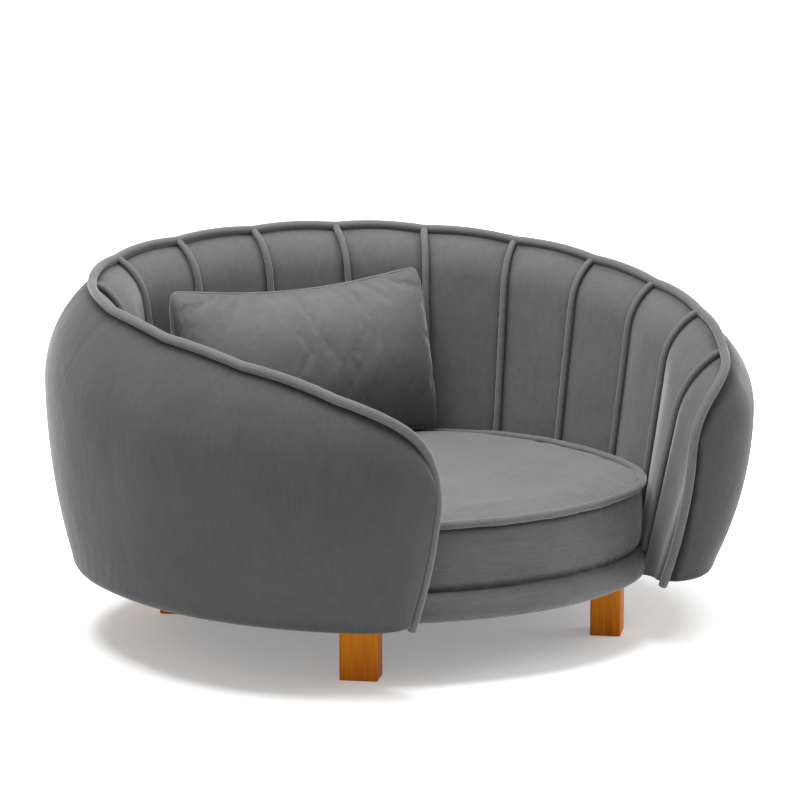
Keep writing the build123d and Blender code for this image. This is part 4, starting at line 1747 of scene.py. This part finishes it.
@dataclass
class Studio:
    """White floor, even light and the camera."""

    tilt: float = 0.1831161607
    turn: float = -0.6228481779
    place: tuple[float, float, float] = (-2.19139, -3.07028, 0.94662)
    lens: float = 157.985
    even_light: float = 0.36
    floor_reach: float = 30.0

    def build(self) -> None:
        """Make the floor, lamps, world and camera."""
        self.floor()
        self.lamps()
        self.world()
        self.camera()

    def floor(self) -> None:
        """A white floor that glows to the camera, painted light dimmed round the sofa to paint its shadow."""
        points = np.array([[-1, -1, 0], [1, -1, 0], [1, 1, 0], [-1, 1, 0]]) * self.floor_reach
        mesh = bpy.data.meshes.new("floor")
        mesh.from_pydata(points.tolist(), [], [(0, 1, 2, 3)])
        piece = bpy.data.objects.new("floor", mesh)
        bpy.context.scene.collection.objects.link(piece)
        kit = FinishKit("white_floor")
        kit.set(Base_Color=(0.9, 0.9, 0.9, 1.0), Roughness=1.0, Specular_IOR_Level=0.0)
        # Painted light and shadow: the floor glows 0.26 in an ellipse round the sofa's footprint and full white
        # beyond, painting the shadow's shape.
        spot = kit.coordinates()
        x, y = kit.axis(spot, "X"), kit.axis(spot, "Y")
        reach = (x * x * 6.9 + y * y * 9.5) ** 0.5
        far = (reach * 3.4 - 3.0).clamped()
        glow = kit.node("ShaderNodeEmission", {}, {"Color": kit.blend_colours(far, (0.26,) * 3, (1.0,) * 3),
                                                    "Strength": 1.0})
        glowing = kit.node("ShaderNodeAddShader", {}, {0: kit.shader.outputs[0], 1: glow.outputs[0]})
        both = kit.node("ShaderNodeMixShader", {}, {0: kit.seen(), 1: kit.shader.outputs[0],
                                                    2: glowing.outputs[0]})
        kit.feed(kit.output.inputs["Surface"], both.outputs[0])
        mesh.materials.append(kit.material)

    def lamps(self) -> None:
        """Large soft lamps: one overhead, one at each side and a low one at the left front."""
        for name, place, aim, size, power in (
                ("overhead", (-0.5, 0.1, 2.4), (0, 0, 0.2), 1.5, 87.0),
                ("left_side", (-2.7, 0.3, 1.5), (0, 0, 0.25), 1.4, 8.5),
                ("right_side", (2.3, -1.05, 1.25), (0, 0, 0.25), 1.4, 36.0),
                ("front_low", (-1.7, -2.4, 0.45), (0, 0, 0.1), 1.4, 9.0)):
            data = bpy.data.lights.new(name, "AREA")
            data.shape, data.size, data.energy = "SQUARE", size, power
            lamp = bpy.data.objects.new(name, data)
            lamp.location = place
            lamp.rotation_euler = (Vector(aim) - Vector(place)).to_track_quat("-Z", "Y").to_euler()
            bpy.context.scene.collection.objects.link(lamp)

    def world(self) -> None:
        """Soft even light from all round, plain white behind the object."""
        world = bpy.data.worlds.new("studio")
        world.use_nodes = True
        kit = NodeKit(world.node_tree)
        light, white = (kit.node("ShaderNodeBackground", {}, {"Color": (1, 1, 1, 1), "Strength": strength})
                        for strength in (self.even_light, 1.0))
        both = kit.node("ShaderNodeMixShader", {}, {0: kit.seen(), 1: light.outputs[0], 2: white.outputs[0]})
        kit.node("ShaderNodeOutputWorld", {}, {"Surface": both.outputs[0]})
        bpy.context.scene.world = world

    def camera(self) -> None:
        """The camera, with its axes from the turn about Z and the downward tilt."""
        a, p = self.turn, self.tilt
        right = Vector((math.cos(a), math.sin(a), 0))
        ahead = Vector((-math.sin(a) * math.cos(p), math.cos(a) * math.cos(p), -math.sin(p)))
        up = right.cross(ahead)
        data = bpy.data.cameras.new("camera")
        data.sensor_width, data.lens = 36.0, self.lens
        data.clip_start, data.clip_end = 0.1, 100.0
        camera = bpy.data.objects.new("camera", data)
        turn = Matrix((right, up, -ahead)).transposed()
        camera.matrix_world = Matrix.Translation(Vector(self.place)) @ turn.to_4x4()
        bpy.context.scene.collection.objects.link(camera)
        bpy.context.scene.camera = camera


def main() -> None:
    """Build the sofa's pieces, finishes and studio in order."""
    logging.basicConfig(level=logging.INFO, format="%(name)s: %(message)s")
    # The same grey velvet in six tones: the outer shell darkest and the seat lightest, so the parts' tones paint
    # in their shade and light.
    shell = Velvet("shell_velvet", (0.071, 0.071, 0.0725), (190.0, 190.0, 34.0), sheen=0.36).build()
    inner = Velvet("inner_velvet", (0.112, 0.112, 0.114), (150.0, 150.0, 60.0)).build()
    piping = Velvet("piping_velvet", (0.135, 0.135, 0.137), (260.0, 260.0, 260.0)).build()
    top = Velvet("seat_velvet", (0.143, 0.143, 0.145), (70.0, 150.0, 150.0)).build()
    boxing = Velvet("boxing_velvet", (0.127, 0.127, 0.129), (42.0, 42.0, 430.0), streak_depth=0.0009,
                    contrast=0.42).build()
    pillow = Velvet("pillow_velvet", (0.128, 0.128, 0.130), (110.0, 110.0, 110.0)).build()
    wall = WallShape()
    seat_line = SeatShape.fitted(wall)
    assemblies = [
        RigidParts(StainedWood().build(), Plywood().build(), DustCloth().build(), ZincPlate().build()),
        OuterCover(wall, shell),
        Channels(wall, inner, piping),
        RimWelt(wall, piping),
        Deck(seat_line, boxing),
        SeatCushion(seat_line, top, boxing, piping),
        Pillow(pillow, piping),
    ]
    for assembly in assemblies:
        for piece in assembly.build():
            LOG.info("%s: %s, %d faces", type(assembly).__name__, piece.name, len(piece.data.polygons))
    Studio().build()
    bpy.context.scene.view_settings.view_transform = "Standard"


if __name__ == "__main__":
    main()
